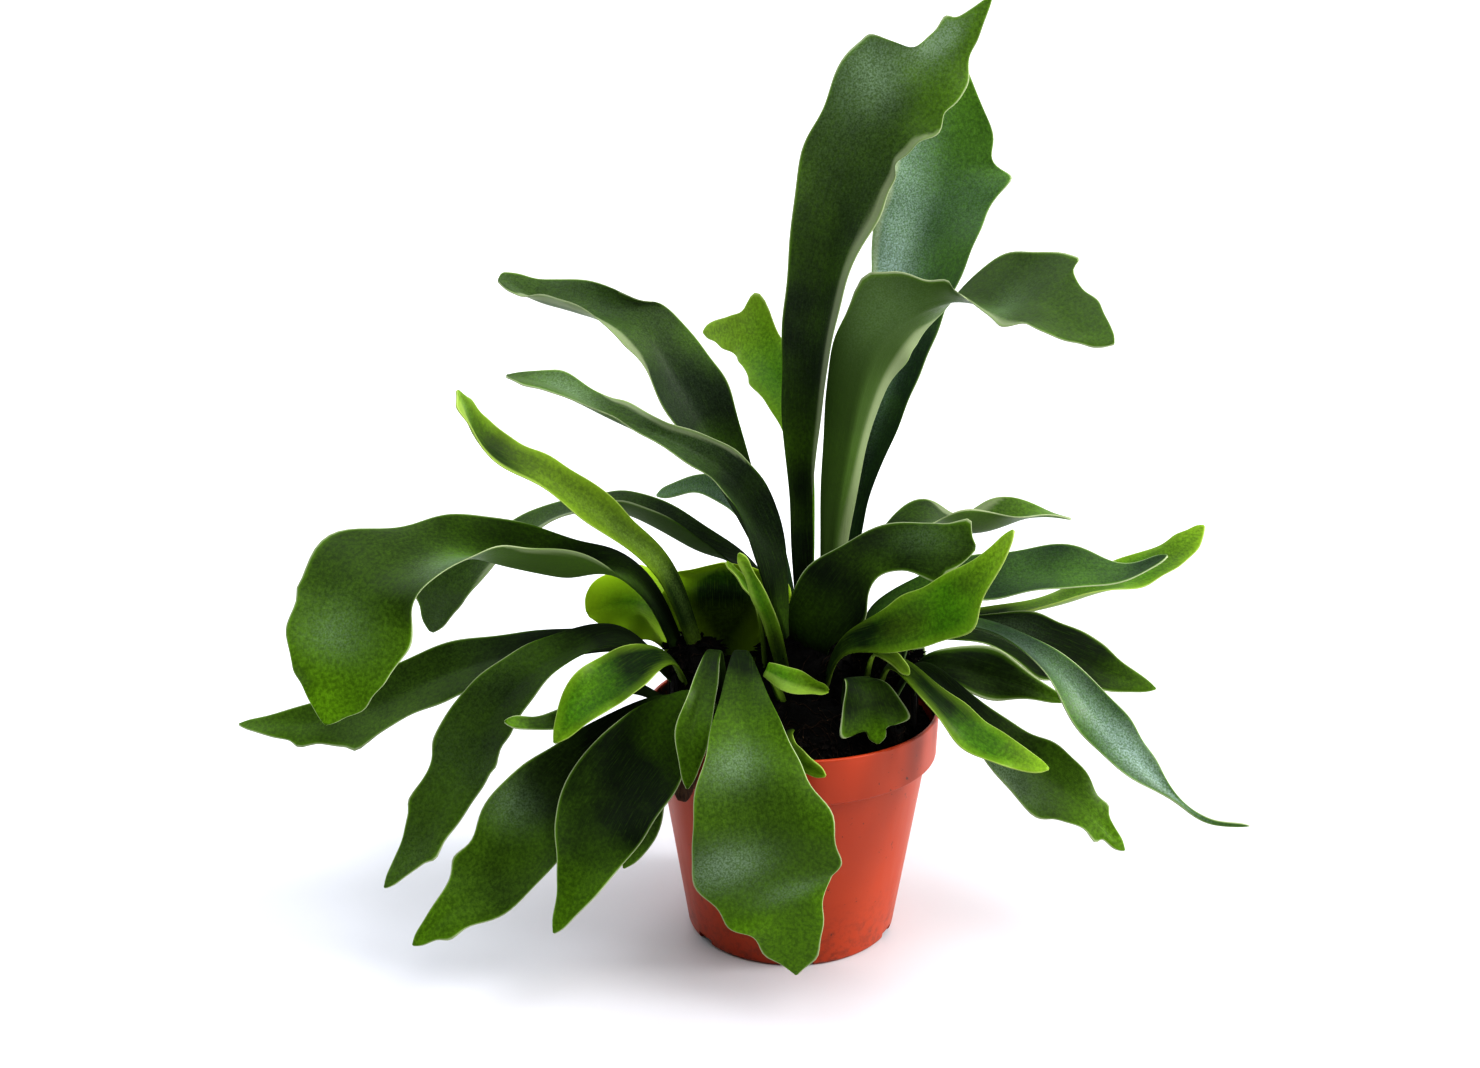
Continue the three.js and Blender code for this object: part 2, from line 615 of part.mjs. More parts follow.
function frondFrom(name, order) {
  const { slot, rows, back = 0, lobes = [] } = FRONDS[name];
  const spine = curveThrough(rows.map(([x, y, z]) => new THREE.Vector3(x, y, z)));
  const foot = rows[0];
  const tip = rows.at(-1);
  const heading = Math.atan2(tip[1] - foot[1], tip[0] - foot[0]);
  const widest = Math.max(...rows.map((row) => row[3]));
  const length = spine.getLength();
  const step = lobes.length > 0 ? LOBED_STEP : STATION_STEP;
  return {
    name, slot, spine, length, lobes, back,
    section: curveThrough(rows.map(([, , , w, roll, fold]) => new THREE.Vector3(w, roll, fold))),
    sideways: new THREE.Vector3(Math.sin(heading), -Math.cos(heading), 0),
    stations: Math.max(FEWEST_STATIONS, Math.round(length / step)),
    columns: widest > NARROW ? WIDE_COLUMNS : NARROW_COLUMNS,
    phase: order * EDGE_WAVE.phase,
    blade: slot.startsWith('shield') ? SHIELD_THICKNESS : BLADE_THICKNESS,
  };
}

// ---- assembly -----------------------------------------------------------------------------------
const fern = new THREE.Group();
fern.name = 'potted_staghorn_fern';

function addNode(name, slot, geometry) {
  const mesh = new THREE.Mesh(geometry, material(slot));
  mesh.name = name;
  fern.add(mesh);
}

const fronds = Object.keys(FRONDS).map(frondFrom);
addNode('pot', 'pot_plastic', toGeometry(potSolid()));
addNode('soil', 'potting_mix', toGeometry(soilSolid()));
const crown = fronds.reduce(
  (solid, frond) => solid.subtract(footHole(frond)),
  crownSolid(),
);
addNode('crown', 'crown_fibre', toGeometry(crown));
fronds.forEach((frond) => addNode(`frond_${frond.name}`, frond.slot, strapGeometry(frond)));

export default fern;
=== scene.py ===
# A potted staghorn fern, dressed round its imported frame. Metres, +Z up, origin under the pot.
import random
from math import atan2, cos, hypot, pi, radians, sin, sqrt, tau

import bpy
import numpy as np
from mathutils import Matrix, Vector


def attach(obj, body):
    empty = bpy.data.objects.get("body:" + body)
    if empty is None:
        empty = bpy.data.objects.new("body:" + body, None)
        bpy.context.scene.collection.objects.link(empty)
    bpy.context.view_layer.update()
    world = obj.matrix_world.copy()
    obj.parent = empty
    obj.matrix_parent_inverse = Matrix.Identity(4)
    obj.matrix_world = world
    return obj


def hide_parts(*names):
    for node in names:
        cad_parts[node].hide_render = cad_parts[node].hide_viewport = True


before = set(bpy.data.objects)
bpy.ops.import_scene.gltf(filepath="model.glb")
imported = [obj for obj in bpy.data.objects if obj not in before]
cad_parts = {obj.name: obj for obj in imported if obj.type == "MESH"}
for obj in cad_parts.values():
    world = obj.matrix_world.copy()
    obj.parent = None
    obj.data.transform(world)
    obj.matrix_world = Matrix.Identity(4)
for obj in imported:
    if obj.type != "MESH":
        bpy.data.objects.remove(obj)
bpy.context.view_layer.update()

MM = 0.001

# ---- camera and stage ----
IMAGE_WIDTH = 1480
FOCAL_PIXELS = 1500
SENSOR_WIDTH = 36.0
EYE_MM = np.array((-21.6, -579.3, 323.7))
CAMERA_PITCH = 15.05
FLOOR_HALF_WIDTH = 3.0
# Painted shade: the floor is darker and bluer near the plant and fully pale from the second
# distance on, in metres.
FLOOR_SHADE_REACH = (0.22, 0.75)
# The room is bright behind the plant and above it, and dim in front of it.
ROOM_LIGHT = {"front": 0.1, "behind": 1.12, "height_share": 0.6, "from": -0.3, "to": 0.4}

# ---- pot, mix and crown, in millimetres ----
POT_HEIGHT = 96
RIM_RADIUS = 60
RIM_BAND_HEIGHT = 18.5
RIM_STEP = 4
BAND_TAPER = 0.6
BASE_RADIUS = 43.5
WALL = 1.6
POT_FLOOR = 2.4
BASE_CHAMFER = 1
BAND_CHAMFER = 2
LIP_CHAMFER = {"across": 0.4, "down": 0.5}
EDGE_RADIUS = 0.7
POT_SIDES = 160
SHARP_EDGE_DEGREES = 38
DRAIN = {"count": 6, "width": 9, "height": 6, "inner": 34, "outer": 50, "turn": 0.6}
INNER_RIM = RIM_RADIUS - WALL
BAND_BOTTOM = POT_HEIGHT - RIM_BAND_HEIGHT
SHOULDER = BAND_BOTTOM - BAND_CHAMFER
WALL_TOP = RIM_RADIUS - RIM_STEP - BAND_TAPER
# Dirt reaches this far up the pot's foot. The inside of the rim is darkened: how deep, over what
# height above the mix it comes in, and from where to where below the lip it fades.
DIRTY_FOOT = 30
RIM_DARKENING = {"thick": 0.9, "rise": 2, "fading": 1.5, "end": 0.5}
SOIL_DEPTH = 7
SOIL_TOP = POT_HEIGHT - SOIL_DEPTH
SOIL_CLEARANCE = 0.6
SOIL_RADIUS = INNER_RIM - BAND_TAPER - SOIL_CLEARANCE
SOIL_FOOT = BAND_BOTTOM + WALL + 1
SOIL_SINK = 0.3
SOIL_EDGE = {"width": 3, "drop": 1.2}
CROWN_FOOT = SOIL_TOP + 0.3
CROWN_BOTTOM = CROWN_FOOT - 1
CROWN_RADIUS = 51
CROWN_RISE = 19
CROWN_SINK = 0.6
CROWN_SMOOTH_EDGE = 6
# Shares of the crown's radius, and the shares of its rise there.
CROWN_OUTLINE = ((0, 0.4, 0.7, 0.93, 1), (1, 0.95, 0.8, 0.5, 0.08))
# Growing points: x, y, top height, radius.
GROWING_POINTS = ((-41, -7, 127, 16), (5, -2, 131, 21), (38, -3, 125, 15))
# Unevenness: height, seed, number of waves, shortest and longest wave. The last number brings a
# sum of waves to about 1.
SOIL_BUMPS = ((0.55, 3, 14, 2.2, 5), (0.5, 4, 8, 7, 20))
CROWN_BUMPS = ((1.1, 5, 12, 3, 7), (0.8, 6, 8, 9, 22))
WAVE_SUM = 0.7
SEEDS = {"fronds": 11, "crumbs": 21, "roots": 33, "scales": 45}
CRUMBS = {"count": 1500, "from": 46, "rim_gap": 1.2, "least_gap": 0.3, "rise": 0.25,
          "sizes": (0.5, 0.7, 0.9, 1.3), "spread": (0.7, 1.2), "dents": (0.75, 1.25),
          "forms": ((0.8, 2.2), (0.6, 1.1), (0.5, 1))}
ROOTS = {"count": 420, "step": 1.5, "steps": (5, 13), "radius": (0.12, 0.34), "taper": 0.6,
         "from": 20, "by_rim": (47, 56), "start_gap": 1.5, "rim_gap": 0.8, "wander": 0.25,
         "rise": 0.25, "lift": (-0.2, 0.6)}
SCALES = {"count": 260, "long": (3, 6.5), "half_width": (0.5, 1.0), "half_thick": 0.12,
          "droop": 0.8, "sink": 0.6, "spread": 1.15, "outward": 0.7, "upward": (-0.1, 0.5),
          "rim_gap": 1.5}
# A scale's outline: share of its length and of its width.
SCALE_OUTLINE = ((0, 0.5), (0.35, 1.0), (0.75, 0.6), (1.0, 0.08))

# ---- fronds: sizes in millimetres, pairs are shares of the length ----
STIPE_THICKNESS = 2.6
BLADE_THICKNESS = 1.1
SHIELD_THICKNESS = 1.4
STIPE_SHARE = 0.25
BLADE_OPENS = (0.15, 0.5)
TIP_HALF_WIDTH = 0.8
FLAT_FOOT = 32
FOLDED_FROM = 56
FOLD_POWER = 1.4
LOBE_SWEEP = 0.8
LEAN_POWER = 1.5
# A margin is thinner than the middle by this share.
MARGIN_THINNING = 0.6
RIB = {"half_width": 1.6, "fading": 0.8, "groove": 0.25, "keel": 0.5}
# Most tips are blunt: a second width comes in over this share of the length.
BLUNT_TIP = 2.1
BLUNTED = (0.72, 0.95)
SHARP_TIPS = ("tall_front", "tall_back", "right_droop_silver")
ROUNDED_ENDS = 1.3
SHIELD_ENDS = (0.86, 1.04)
NARROWEST_SHIELD = 0.02
NARROWEST_TIP = 0.05
# How fine the meshes are.
LENGTH_SAMPLES = 201
WAY_STEP = 1e-4
STATION_STEP = 2.2
FEWEST_STATIONS = 36
SMOOTHINGS = 4
WIDE_COLUMNS = 21
NARROW_COLUMNS = 13
NARROW = 6
CROWDED_MARGINS = 1.5
# Unevenness: one even wave of the margins, then seeded ones with their strength, their number, and
# the shortest and the longest of them.
EDGE_WAVE = {"share": 0.14, "turns": 19, "phase": 1.7, "full_from": 0.5}
SCALLOP, SCALLOP_WAVES = 0.11, (3, 16, 40)
FLUTTER, FLUTTER_WAVES, FLUTTER_POWER = 0.06, (2, 20, 42), 2.2
PUCKER, PUCKER_WAVES, PUCKER_TURN = 0.03, (3, 26, 70), 4
FELT_CLOUDS, FELT_WAVES = 0.3, (2, 40, 90)
# The felt is thin at the foot, a part of the painted shade there, and has its full strength from
# the second share of the length on.
FOOT_FELT = (0.08, 0.55)
# Painted shade: a frond is darkest at its foot, down in the crown's shade, and has its full colour
# from the second share of its length on.
FOOT_SHADE = 1.1
FOOT_SHADED = (0.08, 0.6)
# The tip is lightened: partly its own paler colour, partly painted light shining through it.
TIP_TONE = 0.5
TONE_SPREAD = 0.08
# The painted edge highlight along the margins starts above the foot: margins count as this much
# further away there.
FOOT_RIM = 3
RIMMED = (0.1, 0.4)
# A pale band fades in and out over a share of the length, its core is a share of its width, and its
# edge is soft over a tenth of a millimetre. A patch reaches over a share of the half-width.
PALE_FADING = 0.08
PALE_CORE = 0.6
PALE_SOFTNESS = 0.1
PATCH_WIDTH = 0.6
UV_PER_METRE = 10

MATURE, SILVER, YOUNG = "frond_mature", "frond_silver", "frond_young"
SHIELD, DRIED = "shield_green", "shield_dried"


def frond(slot, back, lobes, *rows):
    """One frond: its finish, how far its tip leans back, its lobes (place, side, reach, spread) and
    its rows of x, y, z, half-width, roll and fold from foot to tip, in millimetres and degrees."""
    return {"slot": slot, "back": back, "lobes": lobes, "rows": np.array(rows, dtype=float)}


FRONDS = {
    "tall_front": frond(MATURE, -8, ((0.68, -1, 6, 13), (0.6, 1, -5, 14), (0.8, 1, 3, 10)),
        (6, -1, 108, 3.5, -85, 0), (3, -8, 165, 4.5, -85, 45), (2, -13, 225, 11, -75, 40),
        (8, -14, 275, 14, -70, 28), (22, -12, 318, 20, -80, 12), (39, -9, 338, 18, -82, 6),
        (56, -6, 354, 8, -80, 5), (70, -3, 371, 0.8, -85, 0)),
    "tall_back": frond(SILVER, 35, ((0.74, 1, 7, 9), (0.6, -1, 3, 12)),
        (14, 8, 108, 3.5, -40, 0), (22, 13, 165, 6.5, -40, 45), (34, 20, 212, 12, -42, 35),
        (44, 29, 250, 17, -45, 27), (56, 37, 292, 21, -50, 15), (62, 39, 320, 18, -55, 8),
        (66, 38, 350, 0.8, -60, 0)),
    "mid_twist": frond(MATURE, -20, (
        (0.42, 1, 5, 10), (0.63, -1, 3, 10), (0.62, 1, -6, 9), (0.71, -1, 6, 8)),
        (14, -4, 108, 3.5, 70, 0), (16, -1, 165, 5.5, 65, 45), (22, -2, 220, 12.5, 62, 30),
        (33, -4, 250, 17, 60, 14), (55, -4, 263, 15, 15, 10), (74, -10, 268, 21, -22, 26),
        (90, -20, 265, 18, -42, 14), (104, -29, 255, 10.5, -48, 8), (114, -36, 249, 0.8, -50, 0)),
    "back_lobed": frond(YOUNG, 50, ((0.68, 1, 11, 5),),
        (5, 8, 108, 3, 50, 0), (6, 14, 165, 3, 52, 35), (2, 26, 203, 6, 60, 20),
        (-7, 35, 226, 9.5, 65, 10), (-17, 40, 240, 10.5, 78, 6), (-28, 43, 243, 6.5, 92, 4),
        (-37, 44, 243, 0.8, 100, 0)),
    "upper_left_long": frond(MATURE, 40, ((0.63, 1, -9, 11),),
        (-1, 4, 108, 3.5, 55, 0), (-9, 10, 154, 5, 52, 42), (-27, 18, 195, 12, 50, 32),
        (-42, 19, 225, 17.5, 50, 22), (-60, 22, 251, 17, 33, 20), (-86, 20, 261, 15, 15, 30),
        (-104, 17, 265, 10, 20, 28), (-116, 12, 267, 4, 25, 0)),
    "upper_left_second": frond(MATURE, 15, (),
        (-4, -9, 106, 3.5, 30, 0), (-7, -14, 150, 6.5, 40, 45), (-15, -14, 182, 10, 50, 35),
        (-29, -12, 200, 10, 50, 30), (-52, -10, 211, 6, 40, 30), (-70, -7, 220, 9.5, 15, 25),
        (-90, -4, 229, 9, 10, 15), (-112, -3, 232, 2.5, 20, 0)),
    "left_bright": frond(YOUNG, -15, (),
        (-36, -6, 112, 3.5, 58, 0), (-50, -14, 155, 5, 58, 35), (-70, -22, 179, 7.5, 57, 25),
        (-94, -28, 199, 9, 45, 22), (-115, -33, 214, 9, 27, 25), (-125, -36, 232, 0.8, 40, 0)),
    "left_big": frond(MATURE, -25, ((0.68, -1, 4, 9),),
        (-43, -6, 113, 3.5, 50, 0), (-58, -15, 150, 7, 35, 47), (-82, -23, 169, 17, 5, 50),
        (-110, -28, 176, 20.5, 0, 38), (-136, -39, 174, 18, 22, 16), (-158, -51, 164, 20, 48, 6),
        (-168, -58, 138, 20, 63, 5), (-172, -59, 122, 13, 65, 3), (-176, -58, 110, 0.8, 65, 0)),
    "left_behind": frond(MATURE, 60, (),
        (-2, 11, 108, 3.5, 30, 0), (-14, 16, 144, 6.5, 22, 45), (-40, 21, 165, 11.5, 3, 42),
        (-68, 22, 178, 13, 5, 32), (-92, 19, 175, 9.5, 0, 20), (-115, 13, 164, 8.5, 25, 12),
        (-140, 4, 146, 10.5, 52, 6), (-147, -1, 127, 4, 60, 0)),
    "left_low_long": frond(MATURE, 40, ((0.72, -1, 4, 9),),
        (-47, 1, 108, 3.5, 5, 0), (-70, 3, 121, 7.5, 5, 36), (-106, 2, 119, 10.5, 32, 22),
        (-140, -1, 111, 13, 38, 18), (-170, -6, 98, 12.5, 46, 10), (-200, -11, 91, 7.5, 45, 6),
        (-224, -14, 92, 0.8, 30, 0)),
    "left_low_dark": frond(MATURE, -8, ((0.6, 1, 3, 8),),
        (-47, -8, 108, 3.5, 20, 0), (-68, -18, 131, 7, 20, 36), (-96, -30, 128, 9.5, 27, 26),
        (-118, -40, 109, 13, 43, 16), (-130, -48, 87, 12, 45, 11), (-143, -57, 63, 8, 40, 6),
        (-157, -62, 45, 0.8, 40, 0)),
    "left_short_bright": frond(YOUNG, 0, (),
        (-42, -14, 106, 3, 30, 0), (-50, -32, 128, 4.5, 27, 28), (-66, -47, 127, 10, 38, 16),
        (-79, -57, 120, 9, 40, 12), (-90, -66, 106, 0.8, 35, 0)),
    "left_short_dark": frond(MATURE, 0, (),
        (-47, -16, 100, 2.5, 25, 0), (-66, -39, 118, 4, 30, 25), (-90, -54, 110, 4, 40, 18),
        (-109, -60, 112, 0.8, 60, 0)),
    "low_left_big": frond(MATURE, 0, ((0.7, 1, 4, 7),),
        (-37, -20, 101, 3.5, 25, 0), (-52, -37, 109, 5.5, 28, 32), (-78, -52, 94, 12.5, 48, 19),
        (-98, -64, 77, 17.5, 50, 11), (-112, -74, 57, 14.5, 45, 8), (-129, -82, 45, 7, 40, 4),
        (-142, -85, 34, 0.8, 40, 0)),
    "low_left_dark": frond(MATURE, 0, ((0.6, 1, 3, 6),),
        (-30, -19, 101, 3.5, 25, 0), (-40, -44, 114, 6.5, 25, 32), (-56, -60, 101, 17, 29, 16),
        (-71, -75, 82, 18, 24, 10), (-80, -87, 61, 9, 18, 5), (-89, -92, 43, 0.8, 15, 0)),
    "behind_low_left": frond(MATURE, 0, (),
        (-42, -22, 96, 3, 15, 0), (-52, -36, 101, 4.5, 15, 28), (-56, -47, 86, 7, 20, 16),
        (-59, -49, 64, 7, 25, 10), (-67, -46, 45, 0.8, 30, 0)),
    "front_left_narrow": frond(MATURE, 0, (),
        (-29, -14, 106, 3, 0, 0), (-31, -34, 131, 2.6, 0, 30), (-35, -53, 123, 5, 15, 18),
        (-39, -66, 109, 6.5, 18, 12), (-41, -71, 90, 0.8, 25, 0)),
    "front_big": frond(MATURE, 0, ((0.64, -1, 2.5, 11), (0.66, 1, 3, 9)),
        (-20, -13, 106, 3.5, 10, 0), (-21, -38, 132, 2.8, 8, 34), (-20, -63, 122, 9.5, -6, 16),
        (-18, -79, 103, 18, -12, 7), (-14, -89, 80, 25.5, -15, 5), (-10, -92, 60, 22, -15, 5),
        (-5, -92, 46, 14, -17, 4), (-1, -90, 25, 0.8, -15, 0)),
    "soil_lobed": frond(MATURE, 0, ((0.7, -1, 6, 4.5), (0.74, 1, 7, 4)),
        (21, -21, 98, 3, 10, 0), (22, -28, 116, 3.5, 5, 20), (25, -36, 119, 7, 0, 16),
        (28, -42, 112, 10.5, -5, 10), (30, -46, 105, 8, -10, 8), (31, -48, 98, 1.5, -15, 0)),
    "small_curl": frond(YOUNG, 0, (),
        (-4, -20, 102, 2.5, -40, 0), (-10, -32, 121, 3, -60, 20), (-11, -42, 125.5, 3, -55, 45),
        (-4, -47, 124, 5, -42, 66), (5, -48, 121.5, 5, -38, 66), (12, -47, 119, 3.5, -35, 50)),
    "rim_tip": frond(YOUNG, 0, (),
        (1, -26, 98, 2.5, -10, 0), (-5, -48, 101, 3.5, -12, 12), (-1, -62, 98.5, 4, -35, 8),
        (10, -67.5, 93.5, 0.8, -45, 0)),
    "young_centre": frond(YOUNG, 0, (),
        (-2, -17, 106, 2.2, 125, 0), (-9, -23, 136, 3.2, 125, 47), (-16, -25, 154, 3.2, 130, 48),
        (-22, -25, 167, 0.8, 115, 0)),
    "young_behind": frond(YOUNG, 0, (),
        (-10, -8, 104, 2.2, 35, 0), (-14, -15, 140, 2.8, 38, 30), (-20, -17, 153, 2.8, 40, 24),
        (-27, -16, 161, 0.8, 45, 0)),
    "back_forked": frond(SILVER, 50, ((0.5, 1, 3, 5),),
        (4, 19, 102, 3, 45, 0), (-6, 26, 150, 4.5, 50, 28), (-20, 33, 173, 7, 60, 18),
        (-38, 37, 180, 4.5, 70, 12), (-57, 40, 174, 0.8, 70, 0)),
    "right_dark_lobed": frond(MATURE, 0, ((0.88, 1, 3, 5),),
        (12, -9, 108, 3.5, -90, 0), (6, -15, 128, 9, -95, 20), (14, -22, 148, 15, -98, 14),
        (28, -30, 168, 9, -80, 10), (48, -38, 174, 9, -70, 6), (66, -42, 174, 4.5, -65, 0)),
    "right_bright": frond(YOUNG, 0, ((0.62, 1, 3, 8),),
        (11, -16, 104, 3.5, -30, 0), (18, -28, 130, 4, -50, 22), (38, -43, 143, 9.5, -78, 11),
        (54, -53, 155, 10.8, -78, 8), (67, -60, 171, 6, -66, 6), (76, -62, 186, 0.8, -60, 0)),
    "right_back_wavy": frond(MATURE, 45, (),
        (28, 12, 104, 3.5, -10, 0), (27, 20, 140, 5, -8, 40), (38, 24, 160, 12, 2, 25),
        (56, 26, 171, 13, -3, 22), (74, 24, 171, 15, 10, 35), (95, 22, 174, 11.5, -3, 28),
        (115, 20, 169, 0.8, 5, 0)),
    "right_bluish": frond(SILVER, 20, (),
        (34, 6, 104, 3.5, -25, 0), (32, 9, 130, 4, -24, 34), (56, 10, 143, 8, -27, 17),
        (84, 8, 149, 12.8, -34, 10), (112, 4, 153, 11.5, -30, 10), (134, 1, 152, 5.5, -22, 6),
        (150, 0, 159, 0.8, -25, 0)),
    "right_bright_far": frond(YOUNG, 40, (),
        (42, 9, 99, 3.5, 5, 0), (49, 12, 124, 4, 5, 34), (86, 18, 130, 7.5, 5, 23),
        (118, 26, 135, 9.3, 3, 18), (146, 33, 143, 10.3, -15, 10), (165, 34, 152, 8, -22, 6),
        (174, 32, 163, 0.8, -25, 0)),
    "right_dark_upper": frond(MATURE, 8, (),
        (45, -2, 101, 3.5, -15, 0), (50, -1, 126, 5.5, -16, 28), (80, -1, 128, 9.5, -30, 15),
        (106, -4, 121, 12.5, -52, 10), (126, -7, 112, 8, -55, 7), (147, -8, 105, 0.8, -60, 0)),
    "right_droop_silver": frond(SILVER, -22, (),
        (41, -7, 104, 3.5, -10, 0), (48, -15, 133, 4.5, -11, 32), (74, -27, 139, 7.5, 2, 21),
        (98, -35, 126, 8.5, -18, 13), (118, -42, 104, 10, -47, 8), (133, -45, 88, 7.2, -50, 6),
        (146, -46, 75, 1.6, -45, 5), (160, -46, 65, 1.2, -70, 3), (177, -44, 62, 0.8, -88, 0)),
    "right_dark_lower": frond(MATURE, 0, (),
        (46, -9, 97, 3, -30, 0), (53, -13, 117, 3.6, -32, 28), (78, -19, 115, 6.5, -58, 14),
        (108, -22, 105, 0.8, -60, 0)),
    "low_right_big": frond(MATURE, -12, ((0.6, 1, 3, 7),),
        (38, -14, 100, 3.5, -10, 0), (48, -27, 121, 5, -14, 34), (66, -35, 107, 7.5, -30, 19),
        (86, -41, 89, 12.5, -46, 12), (106, -44, 76, 12, -45, 8), (118, -46, 64, 5, -40, 4),
        (128, -47, 53, 0.8, -40, 0)),
    "low_right_bright": frond(YOUNG, 0, (),
        (32, -14, 102, 3, -20, 0), (38, -31, 125, 3.4, -19, 32), (54, -47, 115, 6.2, -17, 17),
        (68, -55, 104, 8.2, -22, 9), (82, -58, 97, 5.5, -28, 6), (94, -60, 93, 0.8, -30, 0)),
    "young_right": frond(YOUNG, 0, (),
        (27, -19, 104, 2, -25, 0), (30, -27, 126, 2, -25, 30), (36, -35, 129, 3, -25, 26),
        (43, -40, 123, 0.8, -25, 0)),
    "shield_left": frond(SHIELD, 0, (),
        (-45, 11, 98, 4, 10, 0), (-48, 11, 114, 6, 35, 4), (-54, 8, 130, 13, 52, 10),
        (-62, 3, 138, 15, 60, 14), (-71, -1, 140, 13.5, 62, 14), (-79, -4, 138, 9, 62, 10),
        (-83, -5, 136, 3, 62, 6)),
    "shield_middle": frond(SHIELD, 0, (),
        (-28, 3, 99, 9, 180, 0), (-28, 3, 122, 16, 180, 0), (-28, -1, 137, 25, 180, 20),
        (-28, -3, 148, 25, 180, 24), (-28, -4, 154, 15, 180, 22), (-28, -4, 157, 4, 180, 16)),
    "back_droop_left": frond(MATURE, 0, ((0.66, 1, 3, 6),),
        (-22, 24, 97, 3.5, 0, 0), (-27, 44, 109, 5, 0, 30), (-32, 64, 105, 11, 0, 22),
        (-37, 81, 89, 14.5, -6, 14), (-40, 91, 67, 11, -8, 8), (-42, 97, 44, 0.8, -8, 0)),
    "back_droop_right": frond(SILVER, 0, ((0.6, -1, 3, 6),),
        (24, 25, 97, 3.5, 0, 0), (31, 45, 110, 5, 0, 30), (40, 66, 107, 12, 0, 22),
        (49, 85, 92, 15.5, 6, 14), (57, 97, 70, 11, 8, 8), (62, 104, 50, 0.8, 8, 0)),
    "shield_back": frond(DRIED, 0, (),
        (1, 30, 96, 7, 0, 0), (2, 46, 107, 13, 0, 6), (3, 60, 108, 18, 0, 10),
        (4, 70, 99, 19, 0, 12), (4, 75, 84, 13, 0, 8), (4, 76, 76, 6, 0, 4)),
    "shield_dried": frond(DRIED, 0, (),
        (-33, -29, 96, 6, 0, 0), (-38, -41, 100, 6.5, 0, 6), (-43, -46.5, 97, 7, 0, 6),
        (-44, -47, 86, 7, 0, 6), (-44, -47, 74, 4, 0, 6)),
}

# How much silvery felt, partly painted sheen, shows on a frond by its slot, then for single fronds:
# felt, how light it is (the frond's own tone with painted light and shade), and how strong the
# colour of its tip is.
FELT = {MATURE: 0.12, SILVER: 0.55, YOUNG: 0.03, SHIELD: 0.0, DRIED: 0.0}
LOOKS = {
    "tall_front": (0.18, 0.1, 1.0), "tall_back": (0.05, 0.45, 1.0), "mid_twist": (0.15, 0.0, 0.6),
    "left_big": (0.0, 0.0, 1.1), "front_big": (0.03, 0.75, 1.15),
    "upper_left_long": (0.24, -0.1, 0.5), "upper_left_second": (0.28, -0.1, 0.4),
    "left_low_dark": (0.17, 0.15, 0.8), "low_left_big": (0.02, 0.1, 1.0),
    "low_left_dark": (0.0, -0.5, 0.9), "left_low_long": (0.05, 0.25, 0.9),
    "right_dark_lobed": (0.02, -0.3, 0.7), "right_dark_upper": (0.0, -0.9, 0.9),
    "right_dark_lower": (0.02, -0.4, 0.8), "low_right_big": (0.03, 0.1, 1.1),
    "left_behind": (0.25, 0.0, 0.6), "right_bluish": (0.1, -0.5, 0.6),
    "right_droop_silver": (0.15, 0.0, 0.6), "soil_lobed": (0.0, -0.4, 1.1),
    "front_left_narrow": (0.02, 0.2, 0.9), "behind_low_left": (0.0, 0.2, 1.0),
    "left_short_bright": (0.0, -0.15, 0.8), "left_bright": (0.05, -0.75, 0.8),
    "right_bright": (0.0, 0.3, 1.1), "back_lobed": (0.12, 1.5, 1.35),
    "shield_left": (0.0, 0.5, 1.0), "shield_middle": (0.0, 0.3, 1.0), "small_curl": (0.1, 1.2, 1.2),
    "rim_tip": (0.0, -0.5, 0.8), "young_right": (0.0, -0.8, 0.8), "young_centre": (0.1, 0.5, 1.0),
}
# Margins that fold over and show a pale band: side, first and last share of the length, and width.
PALE_MARGINS = {
    "tall_front": ((1, 0.15, 0.72, 5.0),), "mid_twist": ((-1, 0.05, 0.5, 8.0), (1, 0.5, 0.8, 4.0)),
    "upper_left_long": ((-1, 0.45, 0.95, 6.0),), "upper_left_second": ((1, 0.35, 0.8, 2.5),),
    "left_big": ((-1, 0.15, 0.42, 3.0),), "tall_back": ((-1, 0.35, 0.9, 3.0),),
    "right_back_wavy": ((-1, 0.5, 0.8, 5.0),), "young_centre": ((-1, 0.2, 1.0, 2.0),),
    "left_behind": ((-1, 0.5, 0.85, 4.0),), "left_bright": ((-1, 0.55, 1.0, 3.0),),
    "small_curl": ((1, 0.3, 1.0, 5.0),),
}
# Small lobes and dips of the margins, finer than the CAD straps hold: written like the lobes.
FINE_LOBES = {
    "tall_front": ((0.715, -1, 3, 9), (0.8, -1, -3, 9), (0.88, -1, 2.5, 6)),
    "mid_twist": ((0.735, -1, 2.5, 4), (0.39, 1, 4, 4), (0.52, 1, 3, 4)),
    "left_big": ((0.6, 1, 5, 13), (0.665, 1, 2.5, 8), (0.665, 1, 1, 2)),
    "left_behind": ((0.9, 1, 3, 5),), "front_big": ((0.93, 1, 2, 5), (0.94, -1, 2.5, 6)),
    "right_dark_lobed": ((0.8, 1, 6, 5), (0.93, -1, 4, 4)), "back_lobed": ((0.5, -1, 2, 5),),
    "left_bright": ((0.93, -1, 3, 6), (0.92, 1, 1.5, 5)),
    "upper_left_second": ((0.86, 1, 2.5, 7), (0.7, 1, 2, 7), (0.94, -1, 1.5, 5)),
    "low_left_big": ((0.86, -1, 2, 6),), "left_low_long": ((0.7, -1, 3, 4), (0.83, -1, 2.5, 4)),
    "left_low_dark": ((0.76, 1, 2, 5), (0.6, -1, 2.5, 5), (0.84, -1, 2, 4)),
    "low_right_big": ((0.84, 1, 2.5, 4), (0.8, -1, 2, 4)),
    "soil_lobed": ((0.88, 1, -2, 2.5), (0.88, -1, -2, 2.5)),
    "right_dark_lower": ((0.6, 1, 4, 14), (0.55, -1, 5.5, 17)),
    "right_dark_upper": ((0.72, -1, 1.5, 12), (0.55, 1, 2, 12)),
}
